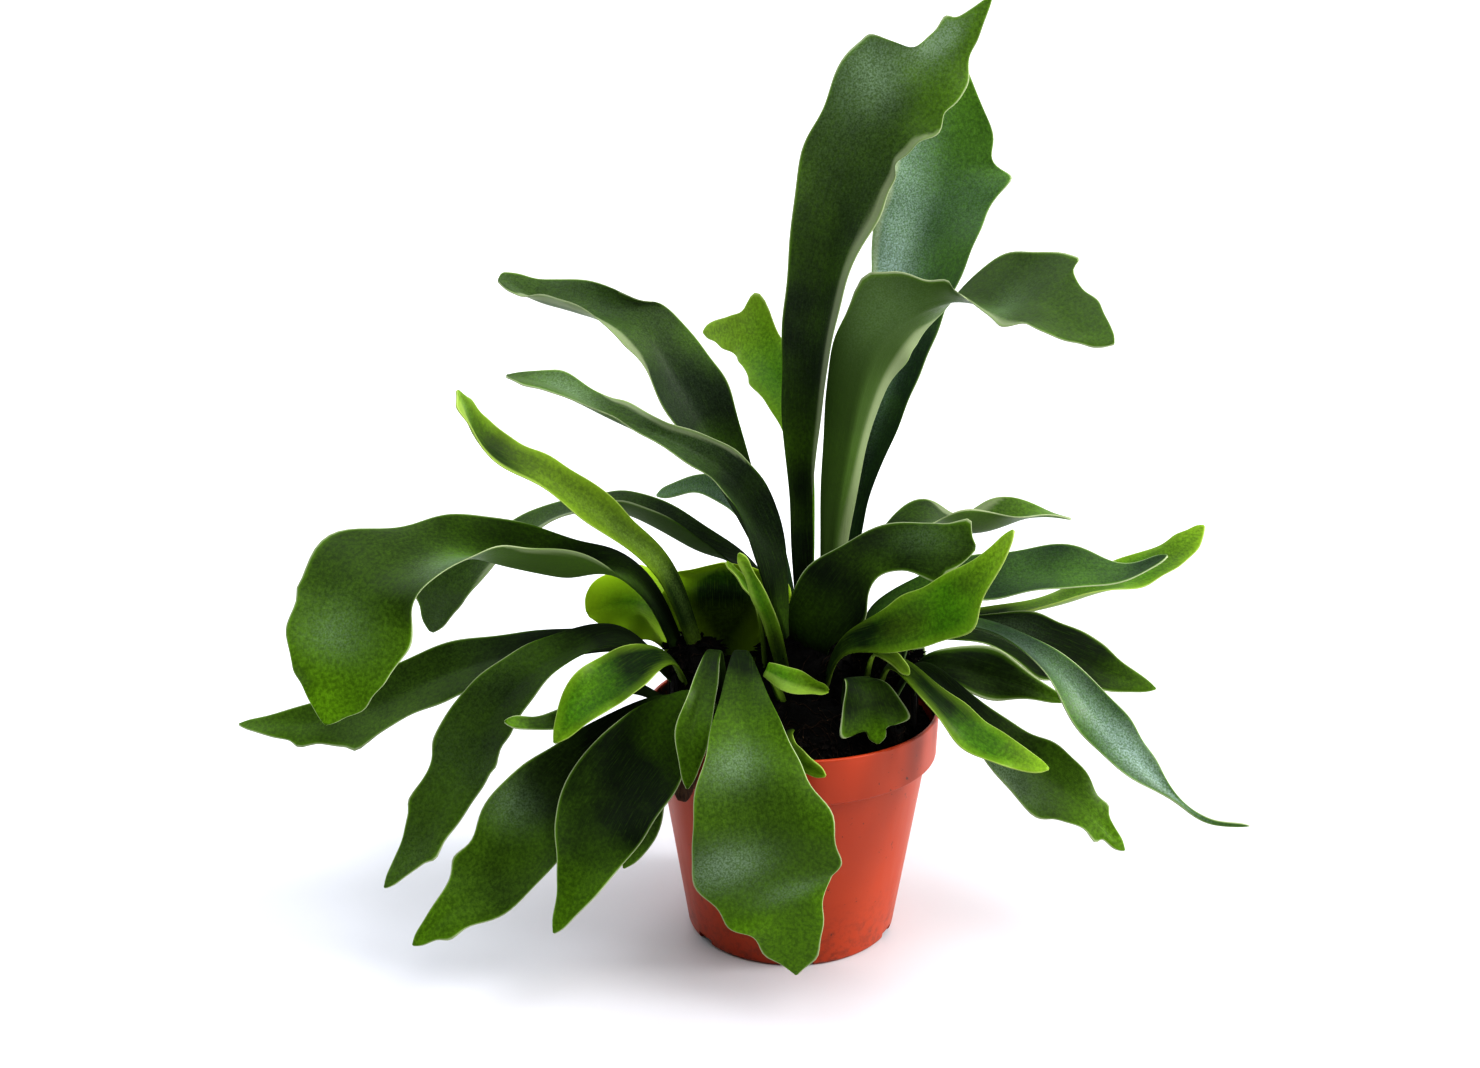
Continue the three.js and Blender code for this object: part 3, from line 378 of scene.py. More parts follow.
# Patches of painted sheen and painted light and shade: place along the strap and across it, spread
# along it, added felt (painted sheen) and added tone (painted light and shade).
SHEEN_AND_SHADE_PATCHES = {
    "tall_front": ((0.84, -0.5, 0.07, 1.3, 0.8), (0.68, -0.6, 0.07, 0.9, 0.3),
                   (0.15, 0, 0.25, 0, -0.6)),
    "tall_back": ((0.5, -0.6, 0.2, 1.2, 0.5), (0.8, -0.9, 0.1, 0.5, 0.5),
                  (0.42, 0.7, 0.16, 0, -1), (0.7, 0.6, 0.08, 0.15, 0.5)),
    "left_big": ((0.3, 0.4, 0.14, 0, -0.9), (0.47, -0.7, 0.07, 0.7, 0.2),
                 (0.72, 0.2, 0.05, 0.5, 0.2), (0.95, 0, 0.15, 0, 1.2)),
    "front_big": ((0.42, 0.3, 0.045, 0.8, 0.2), (0.63, 0.6, 0.05, 1.1, 0.4),
                  (0.74, -0.3, 0.04, 0.6, 0.2), (0.3, 0, 0.12, 0, -0.3), (0.95, 0, 0.12, 0, 0.9)),
    "mid_twist": ((0.4, 0.5, 0.07, 0.5, 0.6), (0.12, 0.5, 0.15, 0, -0.5),
                  (0.66, 0.3, 0.05, 0.4, 0.2)),
    "low_left_big": ((0.9, 0, 0.2, 0, 0.4), (0.52, 0.5, 0.05, 0.5, 0.1)),
    "right_dark_upper": ((0.45, -0.3, 0.1, 0.2, 0.2),),
    "right_dark_lobed": ((0.8, -0.3, 0.12, 0.35, 0),),
    "right_droop_silver": ((0.62, 0, 0.2, 0.9, 0.6),), "shield_middle": ((0.35, 0, 0.35, 0, -1),),
    "low_right_bright": ((0.1, 0, 0.25, 0, -1),),
    "left_bright": ((0.25, 0, 0.3, 0.25, -0.5), (0.97, -0.3, 0.1, 0.3, 0.3)),
    "right_bright": ((0.42, 0, 0.1, 0, -0.6), (0.72, -0.2, 0.07, 0, -0.5), (1, 0, 0.07, 0.3, 0.8)),
    "upper_left_second": ((0.85, 0.2, 0.08, 0.5, 0.1),),
    "low_right_big": ((0.45, 0.7, 0.14, 0.9, 0.4),), "young_centre": ((0.1, 0, 0.2, 0, -0.6),),
}


# ---- node helpers ----
def new_material(name):
    """A node material with nothing but its Principled shader."""
    material = bpy.data.materials.new(name)
    material.use_nodes = True
    tree = material.node_tree
    tree.nodes.clear()
    shader = tree.nodes.new("ShaderNodeBsdfPrincipled")
    output = tree.nodes.new("ShaderNodeOutputMaterial")
    tree.links.new(shader.outputs["BSDF"], output.inputs["Surface"])
    return material, tree, shader


def feed(tree, node, inputs):
    """Sets a node's sockets, or links those whose value is another node's output."""
    for key, value in inputs.items():
        socket = node.inputs[key]
        if isinstance(value, bpy.types.NodeSocket):
            tree.links.new(value, socket)
        elif socket.type == "RGBA":
            socket.default_value = (*value, 1.0)
        else:
            socket.default_value = value


def make_node(tree, kind, inputs=None, **settings):
    node = tree.nodes.new("ShaderNode" + kind)
    for key, value in settings.items():
        setattr(node, key, value)
    feed(tree, node, inputs or {})
    return node


def mixed(tree, share, first, second, mode="MIX"):
    return make_node(tree, "Mix", {0: share, 6: first, 7: second},
                     data_type="RGBA", blend_type=mode).outputs[2]


def ranged(tree, value, low, high, out_low=0.0, out_high=1.0):
    inputs = {0: value, 1: low, 2: high, 3: out_low, 4: out_high}
    return make_node(tree, "MapRange", inputs).outputs[0]


def maths(tree, operation, first, second):
    return make_node(tree, "Math", {0: first, 1: second}, operation=operation).outputs[0]


def noise(tree, place, scale, detail=2.0, roughness=0.5, distortion=0.0):
    return make_node(tree, "TexNoise", {
        "Vector": place, "Scale": scale, "Detail": detail, "Roughness": roughness,
        "Distortion": distortion,
    }).outputs["Fac"]


def object_place(tree):
    return make_node(tree, "TexCoord").outputs["Object"]


def strap_place(tree):
    return make_node(tree, "UVMap", uv_map="strap").outputs[0]


def stretched(tree, place, scale):
    return make_node(tree, "Mapping", {"Vector": place, "Scale": scale}).outputs[0]


def distance(tree, place):
    return make_node(tree, "VectorMath", {0: place}, operation="LENGTH").outputs["Value"]


def attribute(tree, name):
    return make_node(tree, "Attribute", attribute_name=name).outputs["Fac"]


def bumped(tree, height, strength, depth, under=None):
    inputs = {"Strength": strength, "Distance": depth, "Height": height}
    if under is not None:
        inputs["Normal"] = under
    return make_node(tree, "Bump", inputs).outputs["Normal"]


# ---- materials ----
def frond_material(name, dark, mid, tip, under, silver, roughness, sheen,
                   margin=(0.40, 0.45, 0.28), rim_width=1.2, rim_share=0.35):
    """Felted leather: mottled green, faint lengthwise veins, a paler underside, a tip paler partly
    by painted light through it, felt partly painted sheen, and a painted edge highlight.
    """
    material, tree, shader = new_material(name)
    place = object_place(tree)
    tone, edge = attribute(tree, "tone"), attribute(tree, "edge_mm")
    clouds = noise(tree, place, 34.0, 3.0, 0.6)
    patches = noise(tree, place, 17.0, 2.0, 0.5)
    grain = noise(tree, place, 800.0, 2.0, 0.6)
    fleck = noise(tree, place, 1500.0, 1.0)
    veins = noise(tree, stretched(tree, strap_place(tree), (45.0, 2.5, 1.0)), 5.0, 2.0, 0.5, 0.3)
    lightness = maths(tree, "ADD", ranged(tree, clouds, 0.3, 0.7, 0.2, 0.8), tone)
    green = mixed(tree, lightness, dark, mid)
    reach = attribute(tree, "reach")
    # Noise patches, the tip and faint veins take the tip colour; at the tip it is partly painted
    # light shining through.
    for value, low, high, most in (
            (patches, 0.5, 0.7, 0.4), (reach, 0.68, 1.0, 0.75), (veins, 0.5, 0.75, 0.12)):
        green = mixed(tree, ranged(tree, value, low, high, 0.0, most), green, tip)
    green = mixed(tree, ranged(tree, grain, 0.35, 0.7, 0.45, 0.0), green, dark, "MULTIPLY")
    flecked = ranged(tree, fleck, 0.35, 0.7, 0.35, 1.0)
    # Felt in the silver colour, together with the painted sheen that the felt attribute also
    # carries; then the paler underside and the pale margin bands.
    for area, most, paint in (
            ("felt", flecked, silver), ("under", 0.5, under), ("pale", 0.42, margin)):
        green = mixed(tree, maths(tree, "MULTIPLY", attribute(tree, area), most), green, paint)
    # The tip colour along the margins: a thin painted edge highlight, widened into a broad pale rim
    # on the shields.
    green = mixed(tree, ranged(tree, edge, 0.4, rim_width, rim_share, 0.0), green, tip)
    gloss = ranged(tree, grain, 0.3, 0.7, roughness - 0.07, roughness + 0.08)
    feed(tree, shader, {
        # Paler still right at the margin: a painted edge highlight.
        "Base Color": mixed(tree, ranged(tree, edge, 0.1, 0.5, 0.8, 0.0), green, margin),
        "Roughness": maths(tree, "ADD", gloss, ranged(tree, tone, -0.9, -0.1, 0.4, 0.0)),
        "Specular IOR Level": 0.13, "Sheen Weight": sheen, "Sheen Roughness": 0.5,
        "Sheen Tint": (0.8, 0.9, 0.82),
        "Normal": bumped(tree, grain, 0.35, 0.15 * MM, bumped(tree, veins, 0.15, 0.3 * MM)),
    })
    return material


def dried_material():
    """Papery dead frond: brown, streaked along its length and blotched."""
    material, tree, shader = new_material("shield_dried_papery")
    streaks = noise(tree, stretched(tree, strap_place(tree), (40.0, 5.0, 1.0)), 6.0, 4.0, 0.6, 0.5)
    blotches = ranged(tree, noise(tree, object_place(tree), 120.0, 4.0, 0.65), 0.5, 0.75, 0.0, 0.7)
    streaked = ranged(tree, streaks, 0.3, 0.7)
    brown = mixed(tree, streaked, (0.035, 0.016, 0.009), (0.12, 0.055, 0.025))
    feed(tree, shader, {
        "Base Color": mixed(tree, blotches, brown, (0.2, 0.11, 0.055)),
        "Roughness": 0.85, "Normal": bumped(tree, streaks, 0.7, 0.5 * MM),
    })
    return material


def pot_material():
    """Satin moulded plastic: orange-red with faint mould flow, dirty spots, a dirty foot, and the
    inside of the rim darkened from the mix up to just below the lip."""
    material, tree, shader = new_material("pot_satin_plastic")
    place = object_place(tree)
    clouds = noise(tree, place, 14.0, 3.0, 0.55)
    flow = noise(tree, stretched(tree, place, (1.0, 1.0, 0.12)), 70.0, 3.0, 0.6)
    grain = noise(tree, place, 1500.0, 2.0)
    spots = noise(tree, place, 260.0, 3.0, 0.7)
    height = make_node(tree, "SeparateXYZ", {0: place}).outputs[2]
    dirt = maths(tree, "MULTIPLY", ranged(tree, height, 0.0, DIRTY_FOOT * MM, 0.5, 0.0),
                 ranged(tree, spots, 0.45, 0.65))
    # The inside of the rim darkens from the mix up to just below the lip.
    outward = distance(tree, stretched(tree, place, (1.0, 1.0, 0.0)))
    darkened_rim = ranged(tree, outward, INNER_RIM * MM, (INNER_RIM + RIM_DARKENING["thick"]) * MM, 1.0, 0.0)
    for share in (ranged(tree, spots, 0.3, 0.42),
                  ranged(tree, height, SOIL_TOP * MM, (SOIL_TOP + RIM_DARKENING["rise"]) * MM),
                  ranged(tree, height, (POT_HEIGHT - RIM_DARKENING["fading"]) * MM,
                         (POT_HEIGHT - RIM_DARKENING["end"]) * MM, 1.0, 0.0)):
        darkened_rim = maths(tree, "MULTIPLY", darkened_rim, share)
    body = mixed(tree, ranged(tree, clouds, 0.3, 0.7), (0.36, 0.040, 0.006), (0.42, 0.056, 0.011))
    for share, paint in ((ranged(tree, flow, 0.45, 0.7, 0.0, 0.2), (0.46, 0.055, 0.014)),
                         (dirt, (0.06, 0.02, 0.012)),
                         (ranged(tree, spots, 0.66, 0.72, 0.0, 0.8), (0.05, 0.02, 0.012)),
                         (darkened_rim, (0.02, 0.012, 0.008))):
        body = mixed(tree, share, body, paint)
    feed(tree, shader, {
        "Base Color": body, "Roughness": ranged(tree, flow, 0.3, 0.7, 0.33, 0.46),
        "Specular IOR Level": 0.42,
        "Normal": bumped(tree, clouds, 0.15, 0.6 * MM, bumped(tree, grain, 0.08, 0.05 * MM)),
    })
    return material


def earth_material(name, dark, light, pale, scale, bump):
    """Crumbly or fibrous matter: three browns broken up at two scales, deeply rough."""
    material, tree, shader = new_material(name)
    place = object_place(tree)
    lumps = noise(tree, place, scale, 4.0, 0.65)
    crumbs = noise(tree, place, scale * 4.5, 3.0, 0.7)
    brown = mixed(tree, ranged(tree, lumps, 0.35, 0.68), dark, light)
    feed(tree, shader, {
        "Base Color": mixed(tree, ranged(tree, crumbs, 0.58, 0.72, 0.0, 0.8), brown, pale),
        "Roughness": 0.95, "Specular IOR Level": 0.2,
        "Normal": bumped(tree, lumps, 0.6, 2 * bump, bumped(tree, crumbs, 0.8, bump)),
    })
    return material


def stage_material():
    """Plain pale painted board, with painted shade: a little darker and bluer round the plant."""
    material, tree, shader = new_material("stage_pale")
    place = object_place(tree)
    # Painted shade: a darker, bluer board near the plant, fully pale further away.
    near = mixed(tree, noise(tree, place, 9.0, 3.0), (0.63, 0.63, 0.67), (0.67, 0.67, 0.705))
    away = ranged(tree, distance(tree, place), *FLOOR_SHADE_REACH)
    feed(tree, shader, {"Base Color": mixed(tree, away, near, (0.88, 0.88, 0.9)),
                        "Roughness": 0.45, "Specular IOR Level": 0.3})
    return material


MATERIALS = {
    MATURE: frond_material(
        "frond_mature_felted", dark=(0.007, 0.018, 0.002), mid=(0.060, 0.118, 0.008),
        tip=(0.13, 0.27, 0.005), under=(0.095, 0.165, 0.035), silver=(0.19, 0.27, 0.17),
        roughness=0.42, sheen=0.02),
    # Grey-blue felted fronds: their felt is partly painted sheen.
    SILVER: frond_material(
        "frond_silver_felted", dark=(0.010, 0.034, 0.005), mid=(0.05, 0.125, 0.012),
        tip=(0.13, 0.28, 0.02), under=(0.15, 0.22, 0.09), silver=(0.3, 0.4, 0.36),
        roughness=0.44, sheen=0.04),
    # Young fronds: their own yellow-green, brightened as painted light shining through them.
    YOUNG: frond_material(
        "frond_young_felted", dark=(0.006, 0.024, 0.001), mid=(0.09, 0.24, 0.004),
        tip=(0.27, 0.43, 0.025), under=(0.24, 0.36, 0.05), silver=(0.28, 0.42, 0.12),
        roughness=0.4, sheen=0.01, margin=(0.34, 0.44, 0.12), rim_width=4.0, rim_share=0.3),
    SHIELD: frond_material(
        "shield_green_waxy", dark=(0.006, 0.025, 0.001), mid=(0.06, 0.17, 0.002),
        tip=(0.36, 0.56, 0.02), under=(0.04, 0.11, 0.003), silver=(0.2, 0.3, 0.1),
        roughness=0.42, sheen=0.01, margin=(0.46, 0.6, 0.08), rim_width=16.0, rim_share=1.0),
    DRIED: dried_material(),
    "pot_plastic": pot_material(),
    # Near-black peat: dark peat deepened with painted shade.
    "potting_mix": earth_material(
        "potting_mix_peat", (0.003, 0.002, 0.002), (0.012, 0.008, 0.006), (0.05, 0.03, 0.02),
        260.0, 0.5 * MM),
    # Near-black rhizome: its own dark brown deepened with painted shade.
    "crown_fibre": earth_material(
        "crown_rhizome", (0.0015, 0.0013, 0.001), (0.005, 0.0038, 0.003), (0.014, 0.010, 0.007),
        190.0, 0.6 * MM),
}
# Dark root fibres, darkened further with painted shade.
ROOT_MATERIAL = earth_material(
    "crown_root_fibre", (0.01, 0.006, 0.004), (0.035, 0.02, 0.012), (0.16, 0.1, 0.06),
    120.0, 0.1 * MM)


# ---- meshes ----
def add_item(name, data, place=(0, 0, 0), turn=(0, 0, 0)):
    item = bpy.data.objects.new(name, data)
    item.location, item.rotation_euler = place, turn
    bpy.context.scene.collection.objects.link(item)
    return item


def make_object(name, points, faces, material, smooth=True):
    """A mesh object from points in millimetres."""
    mesh = bpy.data.meshes.new(name)
    mesh.from_pydata([tuple(p) for p in np.asarray(points) * MM], [], faces)
    mesh.materials.append(material)
    mesh.validate()
    if smooth:
        mesh.shade_smooth()
    return add_item(name, mesh)


def keep_piece(item, slot, *nodes):
    """The piece rides on the one body and may stand for CAD nodes, which are hidden. The slot is
    not used.
    """
    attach(item, "root")
    if nodes:
        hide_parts(*nodes)
    return item


def ring_quads(rings, sides, base=0):
    """Quads between rings of points, numbered from base on."""
    faces = []
    for low in range(base, base + (rings - 1) * sides, sides):
        for i in range(sides):
            j = (i + 1) % sides
            faces.append((low + i, low + j, low + sides + j, low + sides + i))
    return faces


def tube_faces(base, rings, sides):
    """Faces of a tube of rings of points, closed by a flat face at each end."""
    last = base + (rings - 1) * sides
    return ring_quads(rings, sides, base) + [
        tuple(base + i for i in reversed(range(sides))), tuple(last + i for i in range(sides))]


def closed_body(rings, ends, reverse=False):
    """Points and faces of a body of rings of points, closed by a middle point at each end."""
    count, sides = len(rings), len(rings[0])
    first, last, end_ring = count * sides, count * sides + 1, (count - 1) * sides
    faces = ring_quads(count, sides)
    for i in range(sides):
        j = (i + 1) % sides
        faces += [(first, j, i), (last, end_ring + i, end_ring + j)]
    if reverse:
        faces = [face[1::-1] + face[:1:-1] for face in faces]
    return np.vstack([*rings, ends]), faces


def smoothstep(value, low, high):
    share = np.clip((value - low) / (high - low), 0, 1)
    return share * share * (3 - 2 * share)


def unit(vectors):
    return vectors / np.linalg.norm(vectors, axis=-1, keepdims=True)


def polar(radius, turn):
    return radius * cos(turn), radius * sin(turn)


def spun(x, y, turn):
    """A place in plan, turned about the pot's axis."""
    return x * cos(turn) - y * sin(turn), x * sin(turn) + y * cos(turn)


def curve_points(rows, places):
    """Points on the smooth curve through the rows at places from 0 to 1."""
    ends = np.vstack([2 * rows[0] - rows[1], rows, 2 * rows[-1] - rows[-2]])
    spans = len(rows) - 1
    along = np.clip(places, 0, 1) * spans
    first = np.minimum(along.astype(int), spans - 1)
    w = (along - first)[:, None]
    a, b, c, d = (ends[first + k] for k in range(4))
    slope_b, slope_c = (c - a) / 2, (d - b) / 2
    return (b + slope_b * w + (3 * (c - b) - 2 * slope_b - slope_c) * w ** 2
            + (2 * (b - c) + slope_b + slope_c) * w ** 3)


# ---- fronds ----
def lobe_reach(lobes, t, s, length):
    """How far the lobes push the strap out at places t along it and s across it."""
    return s ** 2 * sum(reach * np.exp(-(((t - at) * length / spread) ** 2)) * (s * side > 0)
                        for at, side, reach, spread in lobes)


def ripples(rng, places, length, waves, shortest, longest):
    """A gentle seeded wave along the strap, between about -1 and 1."""
    total = np.zeros_like(places)
    for _ in range(waves):
        wavelength = rng.uniform(shortest, longest)
        total += np.sin(places * length / wavelength * tau + rng.uniform(0, tau))
    return total / waves


def across_places(columns):
    """Places from -1 to 1 across the strap, closer together towards the margins."""
    even = np.linspace(-1, 1, columns)
    return np.sign(even) * (1 - (1 - np.abs(even)) ** CROWDED_MARGINS)


def wrapped(grid):
    """What runs across the strap's top runs back under it."""
    return np.concatenate([grid, grid[:, ::-1]], axis=1)


def strap_faces(rows, columns):
    """Quads round a closed strap whose rings run over its top and back under it."""
    ring = 2 * columns
    faces = ring_quads(rows, ring)
    last = (rows - 1) * ring
    for i in range(columns - 1):
        faces.append((i + 1, i, ring - 1 - i, ring - 2 - i))
        faces.append((last + i, last + i + 1, last + ring - 2 - i, last + ring - 1 - i))
    return faces


def strap_lines(rows, t):
    """The centre line at the stations t, its ways along, sideways and up, half-width and fold."""
    centre = curve_points(rows[:, :3], t)
    along = unit(curve_points(rows[:, :3], t + WAY_STEP) - curve_points(rows[:, :3], t - WAY_STEP))
    half_width, roll, fold = curve_points(rows[:, 3:], t).T[:, :, None]
    tip_way = rows[-1] - rows[0]
    heading = atan2(tip_way[1], tip_way[0])
    sideways = np.array((sin(heading), -cos(heading), 0.0))
    level = unit(sideways - (along @ sideways)[:, None] * along)
    roll = np.radians(roll)
    side = np.cos(roll) * level + np.sin(roll) * np.cross(level, along)
    lines = (centre, along, side, np.cross(side, along))
    return *(line[:, None] for line in lines), half_width, fold


def strap_width(name, is_shield, half_width, t, length):
    """The half-width at the stations t, with a rounded end and a blunt or a sharp tip."""
    width = np.maximum(half_width, TIP_HALF_WIDTH)
    if is_shield:
        return width * np.sqrt(np.clip(1 - smoothstep(t, *SHIELD_ENDS) ** 2, NARROWEST_SHIELD, 1))
    if name not in SHARP_TIPS:
        width = np.hypot(width, BLUNT_TIP * smoothstep(t, *BLUNTED))
    to_end = np.clip((1 - t) * length / (ROUNDED_ENDS * width[-1]), 0, 1)
    return width * np.sqrt(np.maximum(1 - (1 - to_end) ** 2, NARROWEST_TIP))


def strap(name, spec, order):
    """The fine mesh of one frond, as its rows say. Its grids run along it, then across it."""
    rng = random.Random(order + SEEDS["fronds"])
    rows, slot = spec["rows"], spec["slot"]
    is_shield = slot in (SHIELD, DRIED)
    path = curve_points(rows[:, :3], np.linspace(0, 1, LENGTH_SAMPLES))
    length = float(np.linalg.norm(np.diff(path, axis=0), axis=1).sum())
    t = np.linspace(0, 1, max(FEWEST_STATIONS, round(length / STATION_STEP)) + 1)
    s = across_places(WIDE_COLUMNS if rows[:, 3].max() > NARROW else NARROW_COLUMNS)
    centre, along, side, up, half_width, fold = strap_lines(rows, t)
    t = t[:, None]
    lean = np.radians(np.maximum(fold, 0)) * smoothstep(t * length, FLAT_FOOT, FOLDED_FROM)
    width = strap_width(name, is_shield, half_width, t, length)
    thin = SHIELD_THICKNESS if is_shield else BLADE_THICKNESS
    thickness = STIPE_THICKNESS + (thin - STIPE_THICKNESS) * np.minimum(1, t / STIPE_SHARE)
    blade = smoothstep(t, *BLADE_OPENS)

    # Each margin has its own waves.
    low, high = (ripples(rng, t, length, *SCALLOP_WAVES) for _ in range(2))
    scallop = SCALLOP * blade * np.where(s >= 0, high, low)
    low, high = (ripples(rng, t, length, *FLUTTER_WAVES) for _ in range(2))
    flutter = FLUTTER * width * blade * np.where(s >= 0, high, low)
    pucker, phase = ripples(rng, t, length, *PUCKER_WAVES), rng.uniform(0, tau)
    wave = EDGE_WAVE["share"] * width * np.minimum(1, t / EDGE_WAVE["full_from"]) * s ** 2 * np.sin(
        order * EDGE_WAVE["phase"] + s + t * EDGE_WAVE["turns"])
    wave += flutter * abs(s) ** FLUTTER_POWER
    wave += PUCKER * width * blade * pucker * np.cos(s * PUCKER_TURN + phase) * (1 - s ** 4)

    reach = lobe_reach(spec["lobes"], t, s, length)
    across = s * (width * np.cos(lean) * (1 + scallop * s ** 2) + reach)
    lift = width * np.sin(lean) * (abs(s) ** FOLD_POWER - 1) + wave
    middle = (centre + side * across[..., None] + up * lift[..., None]
              + along * (reach * LOBE_SWEEP)[..., None])
    sight = middle - EYE_MM
    middle += sight * (spec["back"] * t ** LEAN_POWER / sight[..., 1])[..., None]
    half = thickness / 2 * (1 - MARGIN_THINNING * abs(s) ** 6)
    rib = np.exp(-((s * width / RIB["half_width"]) ** 2)) * (1 - RIB["fading"] * t)
    top = middle + up * (half - RIB["groove"] * rib * blade)[..., None]
    bottom = middle - up * (half + RIB["keel"] * rib)[..., None]
    ring = np.concatenate([top, bottom[:, ::-1]], axis=1)
    for _ in range(SMOOTHINGS):
        ring[1:-1] = (ring[:-2] + 2 * ring[1:-1] + ring[2:]) / 4
    reach = lobe_reach(FINE_LOBES.get(name, ()), t, s, length)
    ring += wrapped(side * (s * reach)[..., None] + along * (reach * LOBE_SWEEP)[..., None])

    edge = wrapped((1 - abs(s)) * width)
    if is_shield:
        edge = np.minimum(edge, (1 - t) * length)
    else:
        edge = edge + FOOT_RIM * (1 - smoothstep(t, *RIMMED))
    item = make_object("frond_" + name + "_fine", ring.reshape(-1, 3), strap_faces(len(t), len(s)),
                       MATERIALS[slot])
    paint_strap(item, strap_values(name, slot, rng, t, s, length, edge))
    lengthwise = np.repeat(t, edge.shape[1], axis=1) * length
    lay_uv(item, wrapped(s * width) * MM * UV_PER_METRE, lengthwise * MM * UV_PER_METRE)
    return keep_piece(item, slot, "frond_" + name)


def strap_values(name, slot, rng, t, s, length, edge):
    """What the frond's material reads at each point of the strap."""
    felt, tone, tip_strength = LOOKS.get(name, (FELT[slot], 0.0, 1.0))
    tone += rng.uniform(-TONE_SPREAD, TONE_SPREAD)
    share_along, share_across = np.repeat(t, edge.shape[1], axis=1), wrapped(s[None, :])
    under, pale = np.zeros(edge.shape), np.zeros(edge.shape)
    under[:, len(s):] = 1
    for margin_side, start, end, wide in PALE_MARGINS.get(name, ()):
        band = (smoothstep(t, start, start + PALE_FADING)
                * (1 - smoothstep(t, end - PALE_FADING, end)))
        near = 1 - smoothstep(edge, PALE_CORE * wide * band, wide * band + PALE_SOFTNESS)
        pale = np.maximum(pale, near * (share_across * margin_side > 0) * (band > 0))
    clouds = 1 - FELT_CLOUDS + FELT_CLOUDS * ripples(rng, t, length, *FELT_WAVES)
    felt_and_sheen = felt * clouds * smoothstep(share_along, *FOOT_FELT)
    # Painted sheen goes in as felt, painted light and shade go in as tone.
    for at, where, spread, painted_sheen, light_and_shade in SHEEN_AND_SHADE_PATCHES.get(name, ()):
        near = np.exp(-(((share_along - at) / spread) ** 2)
                      - ((share_across - where) / PATCH_WIDTH) ** 2)
        felt_and_sheen, tone = felt_and_sheen + painted_sheen * near, tone + light_and_shade * near
    # Painted shade at the foot, less a lightening towards the tip.
    shade = FOOT_SHADE * (1 - smoothstep(share_along, *FOOT_SHADED)) - TIP_TONE * share_along ** 3
    return {"edge_mm": edge, "reach": share_along * tip_strength, "under": under, "pale": pale,
            "felt": felt_and_sheen, "tone": tone - shade}


def paint_strap(item, values):
    for name, grid in values.items():
        layer = item.data.attributes.new(name, "FLOAT", "POINT")
        layer.data.foreach_set("value", grid.astype(np.float32).ravel())


def lay_uv(item, across, along):
    """Gives the strap a map that runs across it and along it."""
    mesh = item.data
    corners = np.zeros(len(mesh.loops), dtype=np.int32)
    mesh.loops.foreach_get("vertex_index", corners)
    uv = np.stack([across.ravel(), along.ravel()], axis=1)[corners]
    mesh.uv_layers.new(name="strap").data.foreach_set("uv", uv.astype(np.float32).ravel())


# ---- pot ----
def lathe(profile, sides):
    """A closed turned body whose profile starts and ends on the axis."""
    angles = np.linspace(0, tau, sides, endpoint=False)
    rings = [[(*polar(r, a), z) for a in angles] for r, z in profile[1:-1]]
    return closed_body(rings, [(0, 0, profile[0][1]), (0, 0, profile[-1][1])])


def rounded(profile, radius, steps=4, most=0.45):
    """The profile with each inner corner turned into an arc, over at most that share of a side."""
    result = [profile[0]]
    for before, corner, after in zip(profile, profile[1:], profile[2:]):
        before, corner, after = (np.array(p, dtype=float) for p in (before, corner, after))
        to_before, to_after = before - corner, after - corner
        sides = np.linalg.norm(to_before), np.linalg.norm(to_after)
        reach = min(radius, sides[0] * most, sides[1] * most)
        start = corner + to_before / sides[0] * reach
        end = corner + to_after / sides[1] * reach
        for k in range(steps + 1):
            w = k / steps
            result.append(tuple((1 - w) ** 2 * start + 2 * w * (1 - w) * corner + w ** 2 * end))
    result.append(profile[-1])
    return result


def inner_radius(z):
    return BASE_RADIUS - WALL + (WALL_TOP - BASE_RADIUS) / BAND_BOTTOM * z


def make_pot():
    profile = [
        (0, 0), (BASE_RADIUS - BASE_CHAMFER, 0), (BASE_RADIUS, BASE_CHAMFER), (WALL_TOP, SHOULDER),
        (RIM_RADIUS - BAND_TAPER, BAND_BOTTOM), (RIM_RADIUS, POT_HEIGHT - LIP_CHAMFER["down"]),
        (RIM_RADIUS - LIP_CHAMFER["across"], POT_HEIGHT), (INNER_RIM, POT_HEIGHT),
        (INNER_RIM - BAND_TAPER, BAND_BOTTOM + WALL), (inner_radius(SHOULDER), SHOULDER),
        (inner_radius(POT_FLOOR), POT_FLOOR), (0, POT_FLOOR),
    ]
    points, faces = lathe(rounded(profile, EDGE_RADIUS), POT_SIDES)
    pot = make_object("pot_moulded", points, faces, MATERIALS["pot_plastic"])
    cutters = [drain_cutter(i) for i in range(DRAIN["count"])]
    for cutter in cutters:
        cut = pot.modifiers.new("drain", "BOOLEAN")
        cut.operation, cut.object, cut.solver = "DIFFERENCE", cutter, "EXACT"
    apply_modifiers(pot)
    for cutter in cutters:
        bpy.data.objects.remove(cutter)
    pot.data.set_sharp_from_angle(angle=radians(SHARP_EDGE_DEGREES))
    return keep_piece(pot, "pot_plastic", "pot")


def drain_cutter(index):
    turn = DRAIN["turn"] + index / DRAIN["count"] * tau
    y, z = DRAIN["width"] / 2, DRAIN["height"] / 2
    plan = ((DRAIN["inner"], -y), (DRAIN["outer"], -y), (DRAIN["outer"], y), (DRAIN["inner"], y))
    points = [(*spun(*corner, turn), level) for level in (-z, z) for corner in plan]
    return make_object(f"drain_cutter_{index}", points, tube_faces(0, 2, 4),
                       MATERIALS["pot_plastic"], smooth=False)


